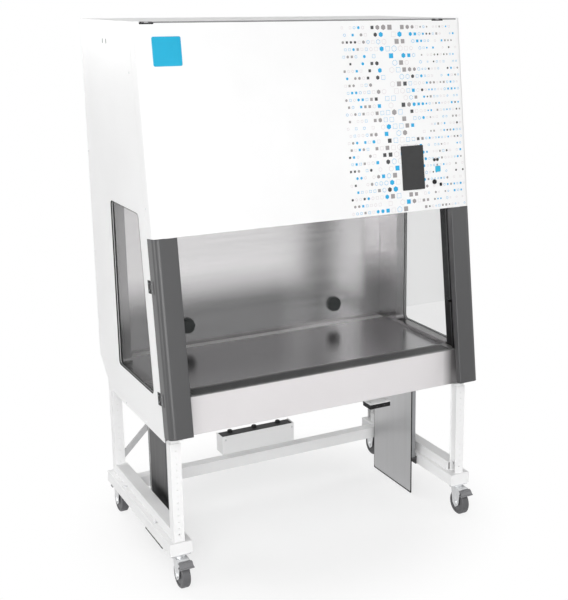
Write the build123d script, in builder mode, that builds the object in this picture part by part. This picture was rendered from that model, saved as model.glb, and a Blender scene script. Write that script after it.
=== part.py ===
from build123d import *
from math import cos, radians, sin, tan
import os

# Class II biosafety cabinet on a height-adjustable stand with four braked swivel casters.
# Millimetres, +Z up, floor at Z = 0, front towards -Y, X = 0 on the plane of symmetry.
# "Cabinet" pieces rise together on the stand; the rest pose is the lowest position.

# ---------------------------------------------------------------- driving dimensions
BODY_W = 1300.0             # outside width of the cabinet body
TOP_Z = 2015.0              # top of the body
BACK_Y = 411.0              # outside of the back panel
FRONT_TOP_Y = -233.0        # front face at the height of the top panel
LEAN = 7.15                 # lean of the front face from the vertical, degrees
BODY_BOTTOM_Z = 566.5       # underside of the body
SHEET = 2.0                 # sheet of the casing
REAR_CHAMFER_Y = 135.0      # depth of the sloping lower rear corner
REAR_CHAMFER_Z = 121.5      # height of the same corner
SEAM = 1.5                  # visible joint between two casing panels
CORNER_R = 22.0             # rounding of the vertical front corners

FASCIA_BOTTOM_Z = 1295.0    # lower edge of the hinged front cover
RETURN = 65.0               # how far fascia and pillars wrap round the sides
FASCIA_LIP = 40.0           # folded lower edge of the fascia
PILLAR_BOTTOM_Z = 594.0
PILLAR_W = 87.0
PILLAR_FLANGE = 26.0        # folded inner edge of a pillar
PILLAR_INNER_R = 4.0

CHAMBER_WALL = 50.0         # from the outside of the body to the inside of the work chamber
CHAMBER_BACK_Y = 295.0
CHAMBER_TOP_Z = 1376.0
LINER = 2.0                 # stainless liner sheet
WORKTOP_Z = 699.0           # top of the removable worktop
WORKTOP_RIM = 22.0          # folded edge of the worktop tray
WORKTOP_SHEET = 3.0
GRILLE_Z = 713.0            # top of the front air grille
GRILLE_FRONT_Y = -329.0     # also the front of the apron
GRILLE_D = 86.0
GRILLE_SHEET = 2.0
GRILLE_SLOT_PITCH = 11.0
GRILLE_SLOT_W = 7.0
GRILLE_SLOT_L = 66.0
GRILLE_SLOT_BACK = 46.0     # middle of the slots behind the apron's front
REAR_GRILLE_D = 34.0

WINDOW_BOTTOM_Z = 716.5
WINDOW_TOP_Z = 1360.0
WINDOW_REAR_Y = 148.0
WINDOW_SETBACK = 140.0      # of the window's front edge behind the front face
WINDOW_R = 18.0
GLASS = 6.0
GLASS_LAP = 12.0            # glass behind the panel round the opening
SEAL_W = 2.0                # black lip round a side window
SEAL_T = 5.0                # bedding between glass and side panel
SEAL_PROUD = 0.5

SASH_SETBACK = 72.0         # middle of the sash glass behind the front face
SASH_BOTTOM_Z = 904.0
SASH_L = 650.0              # glass, measured up the slope
SHOE_H = 9.0                # black shoes below the two lower corners of the glass
SHOE_W = 16.0
RAIL_D = 22.0
RAIL_W = 13.0
RAIL_WALL = 4.0
RAIL_TOP_Z = 1900.0
SLIDE_CLEAR = 1.0           # running clearance of sash and lift-out pieces
PIVOT_CLEAR = 0.08          # radial clearance of pins in their knuckles

FILTER_H = 95.0
FILTER_EDGE = 35.0          # filter set in from the shelf opening's outside
PLEAT_PITCH = 40.0          # filter pleats
PLEAT_GAP = 32.0
SHELF = 3.0
SHELF_LEDGE = 45.0          # shelf left round the downflow opening
EXHAUST_W = 520.0
EXHAUST_D = 360.0
EXHAUST_H = 110.0
EXHAUST_Y = 110.0           # middle of the exhaust filter
EXHAUST_SLOTS = 14
EXHAUST_SLOT_W = 9.0
FAN_R = 150.0
FAN_H = 95.0
FAN_CLEAR = 8.0
FAN_Y = 100.0
FAN_BLADES = 9
FAN_BLADE_T = 3.0
FAN_BLADE_L = 69.0
FAN_BLADE_R = 108.0         # middle of a blade from the shaft
FAN_BLADE_ANGLE = 55.0      # blade from the radial direction, degrees
FAN_HUB_R = 18.0
FAN_INLET_R = 105.0
FAN_HOUSING_H = 125.0
MOTOR_R = 62.0
MOTOR_SHAFT_R = 8.0
MOTOR_H = 62.0
MOTOR_ARMS = 3
MOTOR_ARM_W = 16.0
MOTOR_LIFT = 12.0           # motor above the drum's inlet
LAMP_L = 1060.0
LAMP_D = 42.0
LAMP_H = 26.0
LAMP_R = 8.0

SCREEN_W = 98.0
SCREEN_L = 168.0
SCREEN_IN = 253.0           # middle of the display from the right side
SCREEN_MID_Z = 1461.0
SCREEN_PROUD = 3.0
PORT_R = 6.0
PORT_IN = (154.4, 140.4)
PORT_Z = 1484.5
BUTTON_PROUD = 3.5
POWER_IN = 158.5
POWER_Z = 1400.8
POWER_R = 9.0
TOUCH_IN = 140.0
TOUCH_Z = 1449.0
TOUCH_W = 22.0

FASCIA_HINGE_IN = (41.0, 108.0)     # hinge middles from the left and right side
FASCIA_HINGE_W = 44.0
KNUCKLE_R = 3.0
PIN_R = 1.4
PILLAR_HINGE_Z = (1127.0, 731.0)
PILLAR_HINGE_H = 46.0
PILLAR_HINGE_LEAF = 28.0
PILLAR_HINGE_T = 1.8
PILLAR_KNUCKLE_R = 2.3
PILLAR_PIN_R = 1.1
HINGE_GAP = 0.3             # end play and side play of hinge knuckles

SOCKET_X = (-315.0, 366.0)
SOCKET_Z = 782.0
SOCKET_W = 56.0
SOCKET_H = 62.0
SOCKET_D = 10.0
SOCKET_R = 25.0
SOCKET_LUG_X = 14.0         # hinge lugs from the middle of a socket
LID_R = 22.0
SOCKET_LID = 7.0

# stand
BEAM_OVER = 3.0             # base beams outside the body's sides
BEAM_W = 87.0
BEAM_Z = 126.8              # underside of the base beams
BEAM_H = 47.8
BEAM_WALL = 3.0
BEAM_FRONT_Y = -357.0
BEAM_REAR_Y = 397.0
RAIL_TUBE_W = 48.0          # side rail lying on each base beam
RAIL_TUBE_H = 39.5
POST_IN = 19.4              # posts inside the body's sides
POST = 40.0                 # outer post section
POST_WALL = 2.5
POST_INSET_Y = 12.0         # posts behind the ends of the base beams
POST_HEAD_GAP = 6.0         # post top below the inner leg's head plate
POST_HOLE_PITCH = 25.0
POST_HOLE_R = 3.0
POST_HOLES = 14
LEG_CLEAR = 0.5             # sliding clearance between leg and post
LEG_WALL = 3.0
LEG_FOOT_Z = 222.0
LEG_HEAD = 6.0
LEG_HEAD_W = 64.0
CROSS_FRONT_Y = 263.0
CROSS_D = 46.0
BRACE_T = 5.0
BRACE_RUN = 402.0           # horizontal reach of a rear brace
BRACE_RISE = 402.0
BRACE_CUT = 36.0            # end of a brace, measured along the leg
PAD_FRONT_Y = -265.0
PAD_L = 194.0
PAD_W = 22.0
PAD_T = 8.0

COLUMN_IN = 89.5            # outer face of a lifting column inside the body's sides
COLUMN_D = 29.5
COLUMN_W = 194.0
COLUMN_Y = 9.0
COLUMN_WALL = 3.0
COLUMN_R = 6.0
COLUMN_FOOT_Z = 160.0
COLUMN_TOP_GAP = 14.0
FOOT_T = 9.0
STAGE_CLEAR = 0.6
STAGE_WALL = 3.5
COVER_T = 4.0               # stainless cover beside each column
COVER_FRONT_Y = -104.0
COVER_REAR_Y = 212.0
COVER_BOTTOM_Z = 5.0
COVER_GAP = 1.0
COVER_R = 10.0
EDGE_T = 5.0                # black edging along the foot of the cover
EDGE_SIDE = 1.0             # the same edging up the sides

BOX_W = 342.0               # control box behind the rear cross beam
BOX_X = -1.5
BOX_D = 66.0
BOX_H = 82.0
BOX_COVER = 2.0
BOX_GAP = 0.6
HANDSET_X = 252.0
HANDSET_W = 93.0
HANDSET_D = 58.0
HANDSET_H = 18.0
HANDSET_TOP_Z = 536.0
HANDSET_FRONT_Y = -312.0
BRACKET_T = 2.0
KEY_W = 26.0
KEY_H = 11.0
KEY_PROUD = 2.5
KEY_TRAVEL = 1.5
KEY_SPACING = 34.0

# casters
WHEEL_R = 50.0
WHEEL_W = 32.0
TYRE_T = 12.0
HUB_W = 28.0
TREAD_EDGE = 4.0            # bevel of the tyre's edges
AXLE_R = 6.0
NUT_R = 10.0
TRAIL = 30.0
FORK_T = 3.0
FORK_GAP = 2.5              # each side of the wheel
CROWN_T = 6.0
CROWN_R = 27.0
CROWN_TOP_Z = 116.0
RACE_R = 30.0
RACE_GAP = 0.3
PLATE_T = 4.0
PLATE_W = 74.0
KINGPIN_R = 7.0
PEDAL_W = 56.0
PEDAL_L = 25.0
PEDAL_T = 5.0
PEDAL_PIN_R = 3.0
CASTER_INSET_FRONT = 31.0
CASTER_INSET_REAR = 66.0

# ---------------------------------------------------------------- derived geometry
HALF_W = BODY_W / 2
CHAMBER_HALF_W = HALF_W - CHAMBER_WALL
BEAM_OUT_X = HALF_W + BEAM_OVER
POST_OUT_X = HALF_W - POST_IN
COLUMN_FACE_X = HALF_W - COLUMN_IN
SCREEN_X = HALF_W - SCREEN_IN
PORT_X = (HALF_W - PORT_IN[0], HALF_W - PORT_IN[1])
POWER_X = HALF_W - POWER_IN
TOUCH_X = HALF_W - TOUCH_IN
FASCIA_HINGE_X = (FASCIA_HINGE_IN[0] - HALF_W, HALF_W - FASCIA_HINGE_IN[1])
TAN = tan(radians(LEAN))
COS = cos(radians(LEAN))
SIN = sin(radians(LEAN))
CHAMFER_Z = BODY_BOTTOM_Z + REAR_CHAMFER_Z
CHAMFER_Y = BACK_Y - REAR_CHAMFER_Y


def front_y(z, setback=0.0):
    """Y of the leaning front face at height z, or of a plane set back behind it."""
    return FRONT_TOP_Y - TAN * (TOP_Z - z) + setback / COS


def slope_plane(z, setback=0.0):
    """Plane on the front face at height z: local X across, local Y up the slope."""
    return Plane(origin=(0, front_y(z, setback), z), x_dir=(1, 0, 0), z_dir=(0, -COS, SIN))


def section_plane(z, setback=0.0):
    """Plane square to the slope at height z: local X across, local Y inwards."""
    return Plane(origin=(0, front_y(z, setback), z), x_dir=(1, 0, 0), z_dir=(0, SIN, COS))


def side_plane(x):
    """Plane at the given X: local X along +Y, local Y along +Z, extruding towards +X."""
    return Plane(origin=(x, 0, 0), x_dir=(0, 1, 0), z_dir=(1, 0, 0))


def chamfer_plane(drop):
    """Plane parallel to the sloping rear corner of the body, lowered by an amount."""
    return Plane(origin=(0, CHAMFER_Y, BODY_BOTTOM_Z - drop), x_dir=(1, 0, 0),
                 z_dir=(0, -REAR_CHAMFER_Z, REAR_CHAMFER_Y))


def block(x0, x1, y0, y1, z0, z1, mode=Mode.ADD):
    """Rectangular block between two corners."""
    with Locations(((x0 + x1) / 2, (y0 + y1) / 2, (z0 + z1) / 2)):
        Box(x1 - x0, y1 - y0, z1 - z0, mode=mode)


def save(builder, node):
    """Label a finished piece and write it."""
    builder.part.label = node
    export_step(builder.part, f"parts/{node}.step")


def window_face(x, grow=0.0):
    """Face of the side window opening at the given X, grown outwards by an amount."""
    low = WINDOW_BOTTOM_Z - grow
    high = WINDOW_TOP_Z + grow
    ahead = WINDOW_SETBACK - grow
    with BuildSketch(side_plane(x), mode=Mode.PRIVATE) as opening:
        with BuildLine():
            Polyline((front_y(low, ahead), low), (WINDOW_REAR_Y + grow, low),
                     (WINDOW_REAR_Y + grow, high), (front_y(high, ahead), high), close=True)
        make_face()
        fillet(opening.vertices(), WINDOW_R + grow)
    return opening.sketch


def wrap_face(z, x0, x1, depth, radius):
    """U-shaped sheet outline seen along the slope: outer face x0 to x1, folded back by depth."""
    middle = (x0 + x1) / 2
    with BuildSketch(section_plane(z), mode=Mode.PRIVATE) as outline:
        with Locations((middle, depth)):
            RectangleRounded(x1 - x0, 2 * depth, radius)
            RectangleRounded(x1 - x0 - 2 * SHEET, 2 * depth - 2 * SHEET, radius - SHEET,
                             mode=Mode.SUBTRACT)
        with Locations((middle, depth / 2)):
            Rectangle(x1 - x0, depth, mode=Mode.INTERSECT)
    return outline.sketch


os.makedirs("parts", exist_ok=True)

# ================================================================ STAND (fixed to the floor)
BEAM_TOP_Z = BEAM_Z + BEAM_H
BEAM_IN_X = BEAM_OUT_X - BEAM_W
BEAM_X = BEAM_OUT_X - BEAM_W / 2
POST_FRONT_Y = BEAM_FRONT_Y + POST_INSET_Y
POST_REAR_Y = BEAM_REAR_Y - POST_INSET_Y - POST
POST_TOP_Z = BODY_BOTTOM_Z - LEG_HEAD - POST_HEAD_GAP
POST_CENTRES_Y = (POST_FRONT_Y + POST / 2, POST_REAR_Y + POST / 2)
POST_X = POST_OUT_X - POST / 2

# Base beams: closed rectangular tubes running front to back on each side.
with BuildPart() as base_beams:
    block(BEAM_IN_X, BEAM_OUT_X, BEAM_FRONT_Y, BEAM_REAR_Y, BEAM_Z, BEAM_TOP_Z)
    fillet(base_beams.edges().filter_by(Axis.Y), BEAM_WALL)
    block(BEAM_IN_X + BEAM_WALL, BEAM_OUT_X - BEAM_WALL, BEAM_FRONT_Y + BEAM_WALL,
          BEAM_REAR_Y - BEAM_WALL, BEAM_Z + BEAM_WALL, BEAM_TOP_Z - BEAM_WALL, Mode.SUBTRACT)
    mirror(about=Plane.YZ)
save(base_beams, "base_beams")

# Side rails: tubes welded on the beams between the posts.
with BuildPart() as side_rails:
    block(POST_OUT_X - RAIL_TUBE_W, POST_OUT_X, POST_FRONT_Y + POST, POST_REAR_Y,
          BEAM_TOP_Z, BEAM_TOP_Z + RAIL_TUBE_H)
    block(POST_OUT_X - RAIL_TUBE_W + BEAM_WALL, POST_OUT_X - BEAM_WALL, POST_FRONT_Y + POST,
          POST_REAR_Y, BEAM_TOP_Z + BEAM_WALL, BEAM_TOP_Z + RAIL_TUBE_H - BEAM_WALL, Mode.SUBTRACT)
    mirror(about=Plane.YZ)
save(side_rails, "side_rails")

# Rear cross beam between the two base beams.
with BuildPart() as rear_cross_beam:
    block(-BEAM_IN_X, BEAM_IN_X, CROSS_FRONT_Y, CROSS_FRONT_Y + CROSS_D, BEAM_Z, BEAM_TOP_Z)
    block(-BEAM_IN_X, BEAM_IN_X, CROSS_FRONT_Y + BEAM_WALL, CROSS_FRONT_Y + CROSS_D - BEAM_WALL,
          BEAM_Z + BEAM_WALL, BEAM_TOP_Z - BEAM_WALL, Mode.SUBTRACT)
save(rear_cross_beam, "rear_cross_beam")

# Outer posts: C channels open towards the middle, with a row of height-setting holes.
with BuildPart() as outer_posts:
    for y, top in ((POST_REAR_Y, CHAMFER_Z), (POST_FRONT_Y, POST_TOP_Z)):
        with BuildSketch(Plane.XY.offset(BEAM_TOP_Z)):
            with Locations((POST_X, y + POST / 2)):
                Rectangle(POST, POST)
            with Locations((POST_X - POST_WALL, y + POST / 2)):
                Rectangle(POST, POST - 2 * POST_WALL, mode=Mode.SUBTRACT)
        extrude(amount=top - BEAM_TOP_Z)
        if y > CHAMFER_Y:
            split(bisect_by=chamfer_plane(POST_HEAD_GAP), keep=Keep.BOTTOM)
    with BuildSketch(Plane.XZ.offset(-POST_CENTRES_Y[1] - POST)):
        with Locations((POST_X, (POST_TOP_Z + BEAM_TOP_Z) / 2)):
            with GridLocations(0, POST_HOLE_PITCH, 1, POST_HOLES):
                RegularPolygon(POST_HOLE_R, 6)
    extrude(amount=POST_CENTRES_Y[1] - POST_CENTRES_Y[0] + 2 * POST, mode=Mode.SUBTRACT)
    mirror(about=Plane.YZ)
save(outer_posts, "outer_posts")

# Black strips under the base beams.
with BuildPart() as beam_pads:
    block(BEAM_OUT_X - PAD_W, BEAM_OUT_X - SHEET, PAD_FRONT_Y, PAD_FRONT_Y + PAD_L,
          BEAM_Z - PAD_T, BEAM_Z)
    fillet(beam_pads.edges().filter_by(Axis.Z), PAD_T / 2)
    mirror(about=Plane.YZ)
save(beam_pads, "beam_pads")

# Lifting columns: the lower profile stands on a black foot fixed to the base beam.
COLUMN_IN_X = COLUMN_FACE_X - COLUMN_D
COLUMN_X = COLUMN_FACE_X - COLUMN_D / 2
COLUMN_TOP_Z = BODY_BOTTOM_Z - COLUMN_TOP_GAP


def column_tube(width, depth, radius, wall, z0, z1):
    """Flat hollow column profile centred on the right-hand column."""
    with BuildSketch(Plane.XY.offset(z0)) as profile:
        with Locations((COLUMN_X, COLUMN_Y)):
            RectangleRounded(depth, width, radius)
            RectangleRounded(depth - 2 * wall, width - 2 * wall, max(radius - wall, wall / 3),
                             mode=Mode.SUBTRACT)
    extrude(profile.sketch, amount=z1 - z0)


with BuildPart() as column_lower:
    column_tube(COLUMN_W, COLUMN_D, COLUMN_R, COLUMN_WALL, COLUMN_FOOT_Z, COLUMN_TOP_Z)
    mirror(about=Plane.YZ)
save(column_lower, "column_lower")

with BuildPart() as column_feet:
    block(COLUMN_IN_X, BEAM_IN_X, COLUMN_Y - COLUMN_W / 2, COLUMN_Y + COLUMN_W / 2,
          COLUMN_FOOT_Z - FOOT_T, COLUMN_FOOT_Z)
    block(COLUMN_FACE_X, BEAM_IN_X, COLUMN_Y - COLUMN_W / 2, COLUMN_Y + COLUMN_W / 2,
          BEAM_Z, COLUMN_FOOT_Z - FOOT_T)
    mirror(about=Plane.YZ)
save(column_feet, "column_feet")

# Control box of the lift: black body with a sheet cover, hung behind the cross beam.
BOX_FRONT_Y = CROSS_FRONT_Y + CROSS_D
with BuildPart() as control_box_cover:
    block(BOX_X - BOX_W / 2, BOX_X + BOX_W / 2, BOX_FRONT_Y, BOX_FRONT_Y + BOX_D,
          BEAM_TOP_Z, BEAM_TOP_Z + BOX_H)
    fillet(control_box_cover.faces().sort_by(Axis.Y)[0].edges().filter_by(Axis.Z), BOX_COVER * 2)
    block(BOX_X - BOX_W / 2 + BOX_COVER, BOX_X + BOX_W / 2 - BOX_COVER, BOX_FRONT_Y + BOX_COVER,
          BOX_FRONT_Y + BOX_D, BEAM_TOP_Z + BOX_COVER, BEAM_TOP_Z + BOX_H, Mode.SUBTRACT)
    block(BOX_X - BOX_W / 2, BOX_X + BOX_W / 2, BOX_FRONT_Y, BOX_FRONT_Y + BOX_COVER,
          BEAM_Z + BEAM_WALL, BEAM_TOP_Z)
save(control_box_cover, "control_box_cover")

with BuildPart() as control_box_body:
    block(BOX_X - BOX_W / 2 + BOX_COVER + BOX_GAP, BOX_X + BOX_W / 2 - BOX_COVER - BOX_GAP,
          BOX_FRONT_Y + BOX_COVER + BOX_GAP, BOX_FRONT_Y + BOX_D,
          BEAM_TOP_Z + BOX_COVER, BEAM_TOP_Z + BOX_H - BOX_COVER * 2)
    fillet(control_box_body.faces().sort_by(Axis.Z)[-1].edges(), BOX_COVER)
save(control_box_body, "control_box_body")

# ================================================================ CASTERS
CASTERS = {}
for side_name, side in (("left", -1), ("right", 1)):
    CASTERS[f"front_{side_name}"] = (side * BEAM_X, BEAM_FRONT_Y + CASTER_INSET_FRONT, -1)
    CASTERS[f"rear_{side_name}"] = (side * BEAM_X, BEAM_REAR_Y - CASTER_INSET_REAR, 1)
CHEEK_IN = WHEEL_W / 2 + FORK_GAP
CHEEK_OUT = CHEEK_IN + FORK_T
AXLE_END = CHEEK_OUT + FORK_T
PEDAL_PIN_Z = CROWN_TOP_Z - CROWN_T - PEDAL_PIN_R * 2
PEDAL_PIN_Y = 2 * TRAIL - 2 * PEDAL_PIN_R

with BuildPart() as caster_mounts:
    for x, y, trail in CASTERS.values():
        block(x - PLATE_W / 2, x + PLATE_W / 2, y - CASTER_INSET_FRONT, y + CASTER_INSET_FRONT,
              BEAM_Z - PLATE_T, BEAM_Z)
        with Locations((x, y, (BEAM_Z - PLATE_T + CROWN_TOP_Z + RACE_GAP) / 2)):
            Cylinder(RACE_R, BEAM_Z - PLATE_T - CROWN_TOP_Z - RACE_GAP)
        with Locations((x, y, (BEAM_Z + CROWN_TOP_Z - CROWN_T) / 2)):
            Cylinder(KINGPIN_R, BEAM_Z - CROWN_TOP_Z + CROWN_T)
save(caster_mounts, "caster_mounts")


def caster_fork(node, x, y, trail):
    """Swivel fork: crown on the kingpin, two cheeks and the wheel axle with its nuts."""
    with BuildPart() as fork:
        with BuildSketch(Plane.XY.offset(CROWN_TOP_Z - CROWN_T)):
            with Locations((x, y)):
                Circle(CROWN_R)
            with Locations((x, y + trail * TRAIL)):
                Rectangle(2 * CHEEK_OUT, 2 * TRAIL)
            with Locations((x, y)):
                Circle(KINGPIN_R + PIVOT_CLEAR, mode=Mode.SUBTRACT)
        extrude(amount=CROWN_T)
        with BuildSketch(side_plane(x - CHEEK_OUT)):
            with BuildLine():
                Polyline((y, CROWN_TOP_Z), (y + trail * 2 * TRAIL, CROWN_TOP_Z),
                         (y + trail * 2 * TRAIL, CROWN_TOP_Z - 3 * CROWN_T),
                         (y + trail * (TRAIL + 2 * NUT_R), WHEEL_R - NUT_R / 2),
                         (y + trail * TRAIL, WHEEL_R - 2 * NUT_R),
                         (y + trail * (TRAIL - 2 * NUT_R), WHEEL_R - NUT_R / 2),
                         (y, CROWN_TOP_Z - 2 * CROWN_T), close=True)
            make_face()
        extrude(amount=FORK_T)
        mirror(about=Plane.YZ.offset(x))
        with BuildSketch(side_plane(x - AXLE_END)):
            with Locations((y + trail * TRAIL, WHEEL_R)):
                RegularPolygon(NUT_R, 6)
        extrude(amount=FORK_T)
        mirror(about=Plane.YZ.offset(x))
        with BuildSketch(side_plane(x - CHEEK_OUT)):
            with Locations((y + trail * TRAIL, WHEEL_R)):
                Circle(AXLE_R)
            with Locations((y + trail * PEDAL_PIN_Y, PEDAL_PIN_Z)):
                Circle(PEDAL_PIN_R)
        extrude(amount=2 * CHEEK_OUT)
    save(fork, node)


def caster_wheel(node, x, y, trail):
    """Wheel as two solids: the tyre, and a narrower hub that runs on the axle."""
    plane = side_plane(x)
    centre = (y + trail * TRAIL, WHEEL_R)
    rim_r = WHEEL_R - TYRE_T
    with BuildPart() as wheel:
        with BuildSketch(plane):
            with Locations(centre):
                Circle(WHEEL_R)
        extrude(amount=WHEEL_W / 2, both=True)
        chamfer(wheel.edges().filter_by(GeomType.CIRCLE), TREAD_EDGE)
        with BuildSketch(plane):
            with Locations(centre):
                Circle(rim_r + PIVOT_CLEAR)
        extrude(amount=WHEEL_W / 2, both=True, mode=Mode.SUBTRACT)
        with BuildSketch(plane):
            with Locations(centre):
                Circle(rim_r)
                Circle(AXLE_R + PIVOT_CLEAR, mode=Mode.SUBTRACT)
        extrude(amount=HUB_W / 2, both=True)
    save(wheel, node)


def brake_pedal(node, x, y, trail):
    """Foot pedal of the wheel brake, with its barrel on the pin between the cheeks."""
    barrel_r = PEDAL_PIN_R + FORK_GAP
    pin_y = y + trail * PEDAL_PIN_Y
    inner = y + trail * (2 * TRAIL + RACE_GAP)
    with BuildPart() as pedal:
        with BuildSketch(side_plane(x)):
            with BuildLine():
                Polyline((pin_y, PEDAL_PIN_Z - PEDAL_T / 2), (inner, PEDAL_PIN_Z - PEDAL_T / 2),
                         (inner + trail * PEDAL_L, PEDAL_PIN_Z - PEDAL_T * 2),
                         (inner + trail * PEDAL_L, PEDAL_PIN_Z - PEDAL_T),
                         (inner, PEDAL_PIN_Z + PEDAL_T / 2), (pin_y, PEDAL_PIN_Z + PEDAL_T / 2),
                         close=True)
            make_face()
            with Locations((pin_y, PEDAL_PIN_Z)):
                Circle(barrel_r)
                Circle(PEDAL_PIN_R + PIVOT_CLEAR, mode=Mode.SUBTRACT)
        extrude(amount=CHEEK_IN - RACE_GAP, both=True)
        block(x - PEDAL_W / 2, x + PEDAL_W / 2, *sorted((inner + trail * PEDAL_T,
              inner + trail * PEDAL_L)), PEDAL_PIN_Z - PEDAL_T * 2, PEDAL_PIN_Z - PEDAL_T)
    save(pedal, node)


for corner, (x, y, trail) in CASTERS.items():
    caster_fork(f"caster_fork_{corner}", x, y, trail)
    caster_wheel(f"caster_wheel_{corner}", x, y, trail)
    brake_pedal(f"brake_pedal_{corner}", x, y, trail)

# ================================================================ LIFTED FRAME UNDER THE CABINET
# Inner legs slide in the outer posts; each carries a head plate under the body.
LEG = POST - 2 * POST_WALL - 2 * LEG_CLEAR
with BuildPart() as inner_legs:
    for y, top in ((POST_CENTRES_Y[1], CHAMFER_Z), (POST_CENTRES_Y[0], BODY_BOTTOM_Z)):
        with BuildSketch(Plane.XY.offset(LEG_FOOT_Z)):
            with Locations((POST_X, y)):
                Rectangle(LEG, LEG)
                Rectangle(LEG - 2 * LEG_WALL, LEG - 2 * LEG_WALL, mode=Mode.SUBTRACT)
        extrude(amount=top - LEG_FOOT_Z)
        if y > CHAMFER_Y:
            split(bisect_by=chamfer_plane(0), keep=Keep.BOTTOM)
    block(POST_X - LEG_HEAD_W / 2, POST_X + LEG / 2, POST_CENTRES_Y[0] - LEG / 2,
          POST_CENTRES_Y[0] + LEG / 2, BODY_BOTTOM_Z - LEG_HEAD, BODY_BOTTOM_Z)
    mirror(about=Plane.YZ)
save(inner_legs, "inner_legs")

# Rear braces: flat bars from the foot of each rear leg up to the underside of the body.
LEG_IN_X = POST_X - LEG / 2
with BuildPart() as leg_braces:
    with BuildSketch(Plane.XZ.offset(-POST_CENTRES_Y[1])):
        with BuildLine():
            Polyline((LEG_IN_X, LEG_FOOT_Z), (LEG_IN_X, LEG_FOOT_Z + BRACE_CUT),
                     (LEG_IN_X - BRACE_RUN, LEG_FOOT_Z + BRACE_CUT + BRACE_RISE),
                     (LEG_IN_X - BRACE_RUN - BRACE_CUT, LEG_FOOT_Z + BRACE_CUT + BRACE_RISE),
                     close=True)
        make_face()
    extrude(amount=BRACE_T / 2, both=True)
    split(bisect_by=chamfer_plane(0), keep=Keep.BOTTOM)
    mirror(about=Plane.YZ)
save(leg_braces, "leg_braces")

# Upper stage of each lifting column, inside the lower profile, with its head plate.
with BuildPart() as column_upper:
    inset = COLUMN_WALL + STAGE_CLEAR
    column_tube(COLUMN_W - 2 * inset, COLUMN_D - 2 * inset, COLUMN_R - COLUMN_WALL, STAGE_WALL,
                COLUMN_FOOT_Z + FOOT_T, BODY_BOTTOM_Z)
    block(COLUMN_IN_X, COLUMN_FACE_X, COLUMN_Y - COLUMN_W / 2, COLUMN_Y + COLUMN_W / 2,
          BODY_BOTTOM_Z - LEG_HEAD, BODY_BOTTOM_Z)
    mirror(about=Plane.YZ)
save(column_upper, "column_upper")

# Stainless covers on the inner side of the columns, hanging from the body, with black edging.
COVER_IN_X = COLUMN_IN_X - COVER_GAP - COVER_T


def cover_outline():
    """Cover in a YZ sketch: square at the top, rounded lower corners."""
    low = COVER_BOTTOM_Z + EDGE_T
    with Locations(((COVER_FRONT_Y + COVER_REAR_Y) / 2, (low + BODY_BOTTOM_Z) / 2)):
        shape = Rectangle(COVER_REAR_Y - COVER_FRONT_Y - 2 * EDGE_SIDE, BODY_BOTTOM_Z - low)
    fillet(shape.vertices().group_by(Axis.Y)[0], COVER_R)


with BuildPart() as column_covers:
    with BuildSketch(side_plane(COVER_IN_X)):
        cover_outline()
    extrude(amount=COVER_T)
    mirror(about=Plane.YZ)
save(column_covers, "column_covers")

with BuildPart() as cover_edging:
    block(COVER_IN_X - COVER_GAP / 2, COVER_IN_X + COVER_T + COVER_GAP / 2, COVER_FRONT_Y,
          COVER_REAR_Y, COVER_BOTTOM_Z, BODY_BOTTOM_Z)
    with BuildSketch(side_plane(COVER_IN_X - COVER_GAP)):
        cover_outline()
    extrude(amount=COVER_T + 2 * COVER_GAP, mode=Mode.SUBTRACT)
    mirror(about=Plane.YZ)
save(cover_edging, "cover_edging")

# Hand control under the front right of the body.
with BuildPart() as handset_bracket:
    block(HANDSET_X - HANDSET_W / 2, HANDSET_X + HANDSET_W / 2, HANDSET_FRONT_Y,
          HANDSET_FRONT_Y + HANDSET_D, HANDSET_TOP_Z, HANDSET_TOP_Z + BRACKET_T)
    block(HANDSET_X - HANDSET_W / 2, HANDSET_X + HANDSET_W / 2,
          HANDSET_FRONT_Y + HANDSET_D - BRACKET_T, HANDSET_FRONT_Y + HANDSET_D,
          HANDSET_TOP_Z, BODY_BOTTOM_Z)
    block(HANDSET_X - HANDSET_W / 2, HANDSET_X + HANDSET_W / 2,
          HANDSET_FRONT_Y + HANDSET_D / 2, HANDSET_FRONT_Y + HANDSET_D,
          BODY_BOTTOM_Z - BRACKET_T, BODY_BOTTOM_Z)
save(handset_bracket, "handset_bracket")

KEY_Z = HANDSET_TOP_Z - HANDSET_H / 2
KEYS = {"handset_up": HANDSET_X - KEY_SPACING / 2, "handset_down": HANDSET_X + KEY_SPACING / 2}
KEY_DEPTH = KEY_PROUD + KEY_TRAVEL * 2
with BuildPart() as handset_body:
    block(HANDSET_X - HANDSET_W / 2, HANDSET_X + HANDSET_W / 2, HANDSET_FRONT_Y,
          HANDSET_FRONT_Y + HANDSET_D, HANDSET_TOP_Z - HANDSET_H, HANDSET_TOP_Z)
    fillet(handset_body.faces().sort_by(Axis.Y)[0].edges().filter_by(Axis.Z), BRACKET_T * 2)
    for x in KEYS.values():
        block(x - KEY_W / 2 - STAGE_CLEAR, x + KEY_W / 2 + STAGE_CLEAR, HANDSET_FRONT_Y,
              HANDSET_FRONT_Y + KEY_DEPTH, KEY_Z - KEY_H / 2 - STAGE_CLEAR,
              KEY_Z + KEY_H / 2 + STAGE_CLEAR, Mode.SUBTRACT)
save(handset_body, "handset_body")

for node, x in KEYS.items():
    with BuildPart() as key:
        block(x - KEY_W / 2, x + KEY_W / 2, HANDSET_FRONT_Y - KEY_PROUD,
              HANDSET_FRONT_Y + KEY_DEPTH - KEY_TRAVEL - RACE_GAP, KEY_Z - KEY_H / 2,
              KEY_Z + KEY_H / 2)
        chamfer(key.faces().sort_by(Axis.Y)[0].edges(), KEY_PROUD / 2)
    save(key, node)

# ================================================================ CABINET CASING
SIDE_FRONT = RETURN + SEAM
SIDE_IN_X = HALF_W - SHEET

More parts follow.
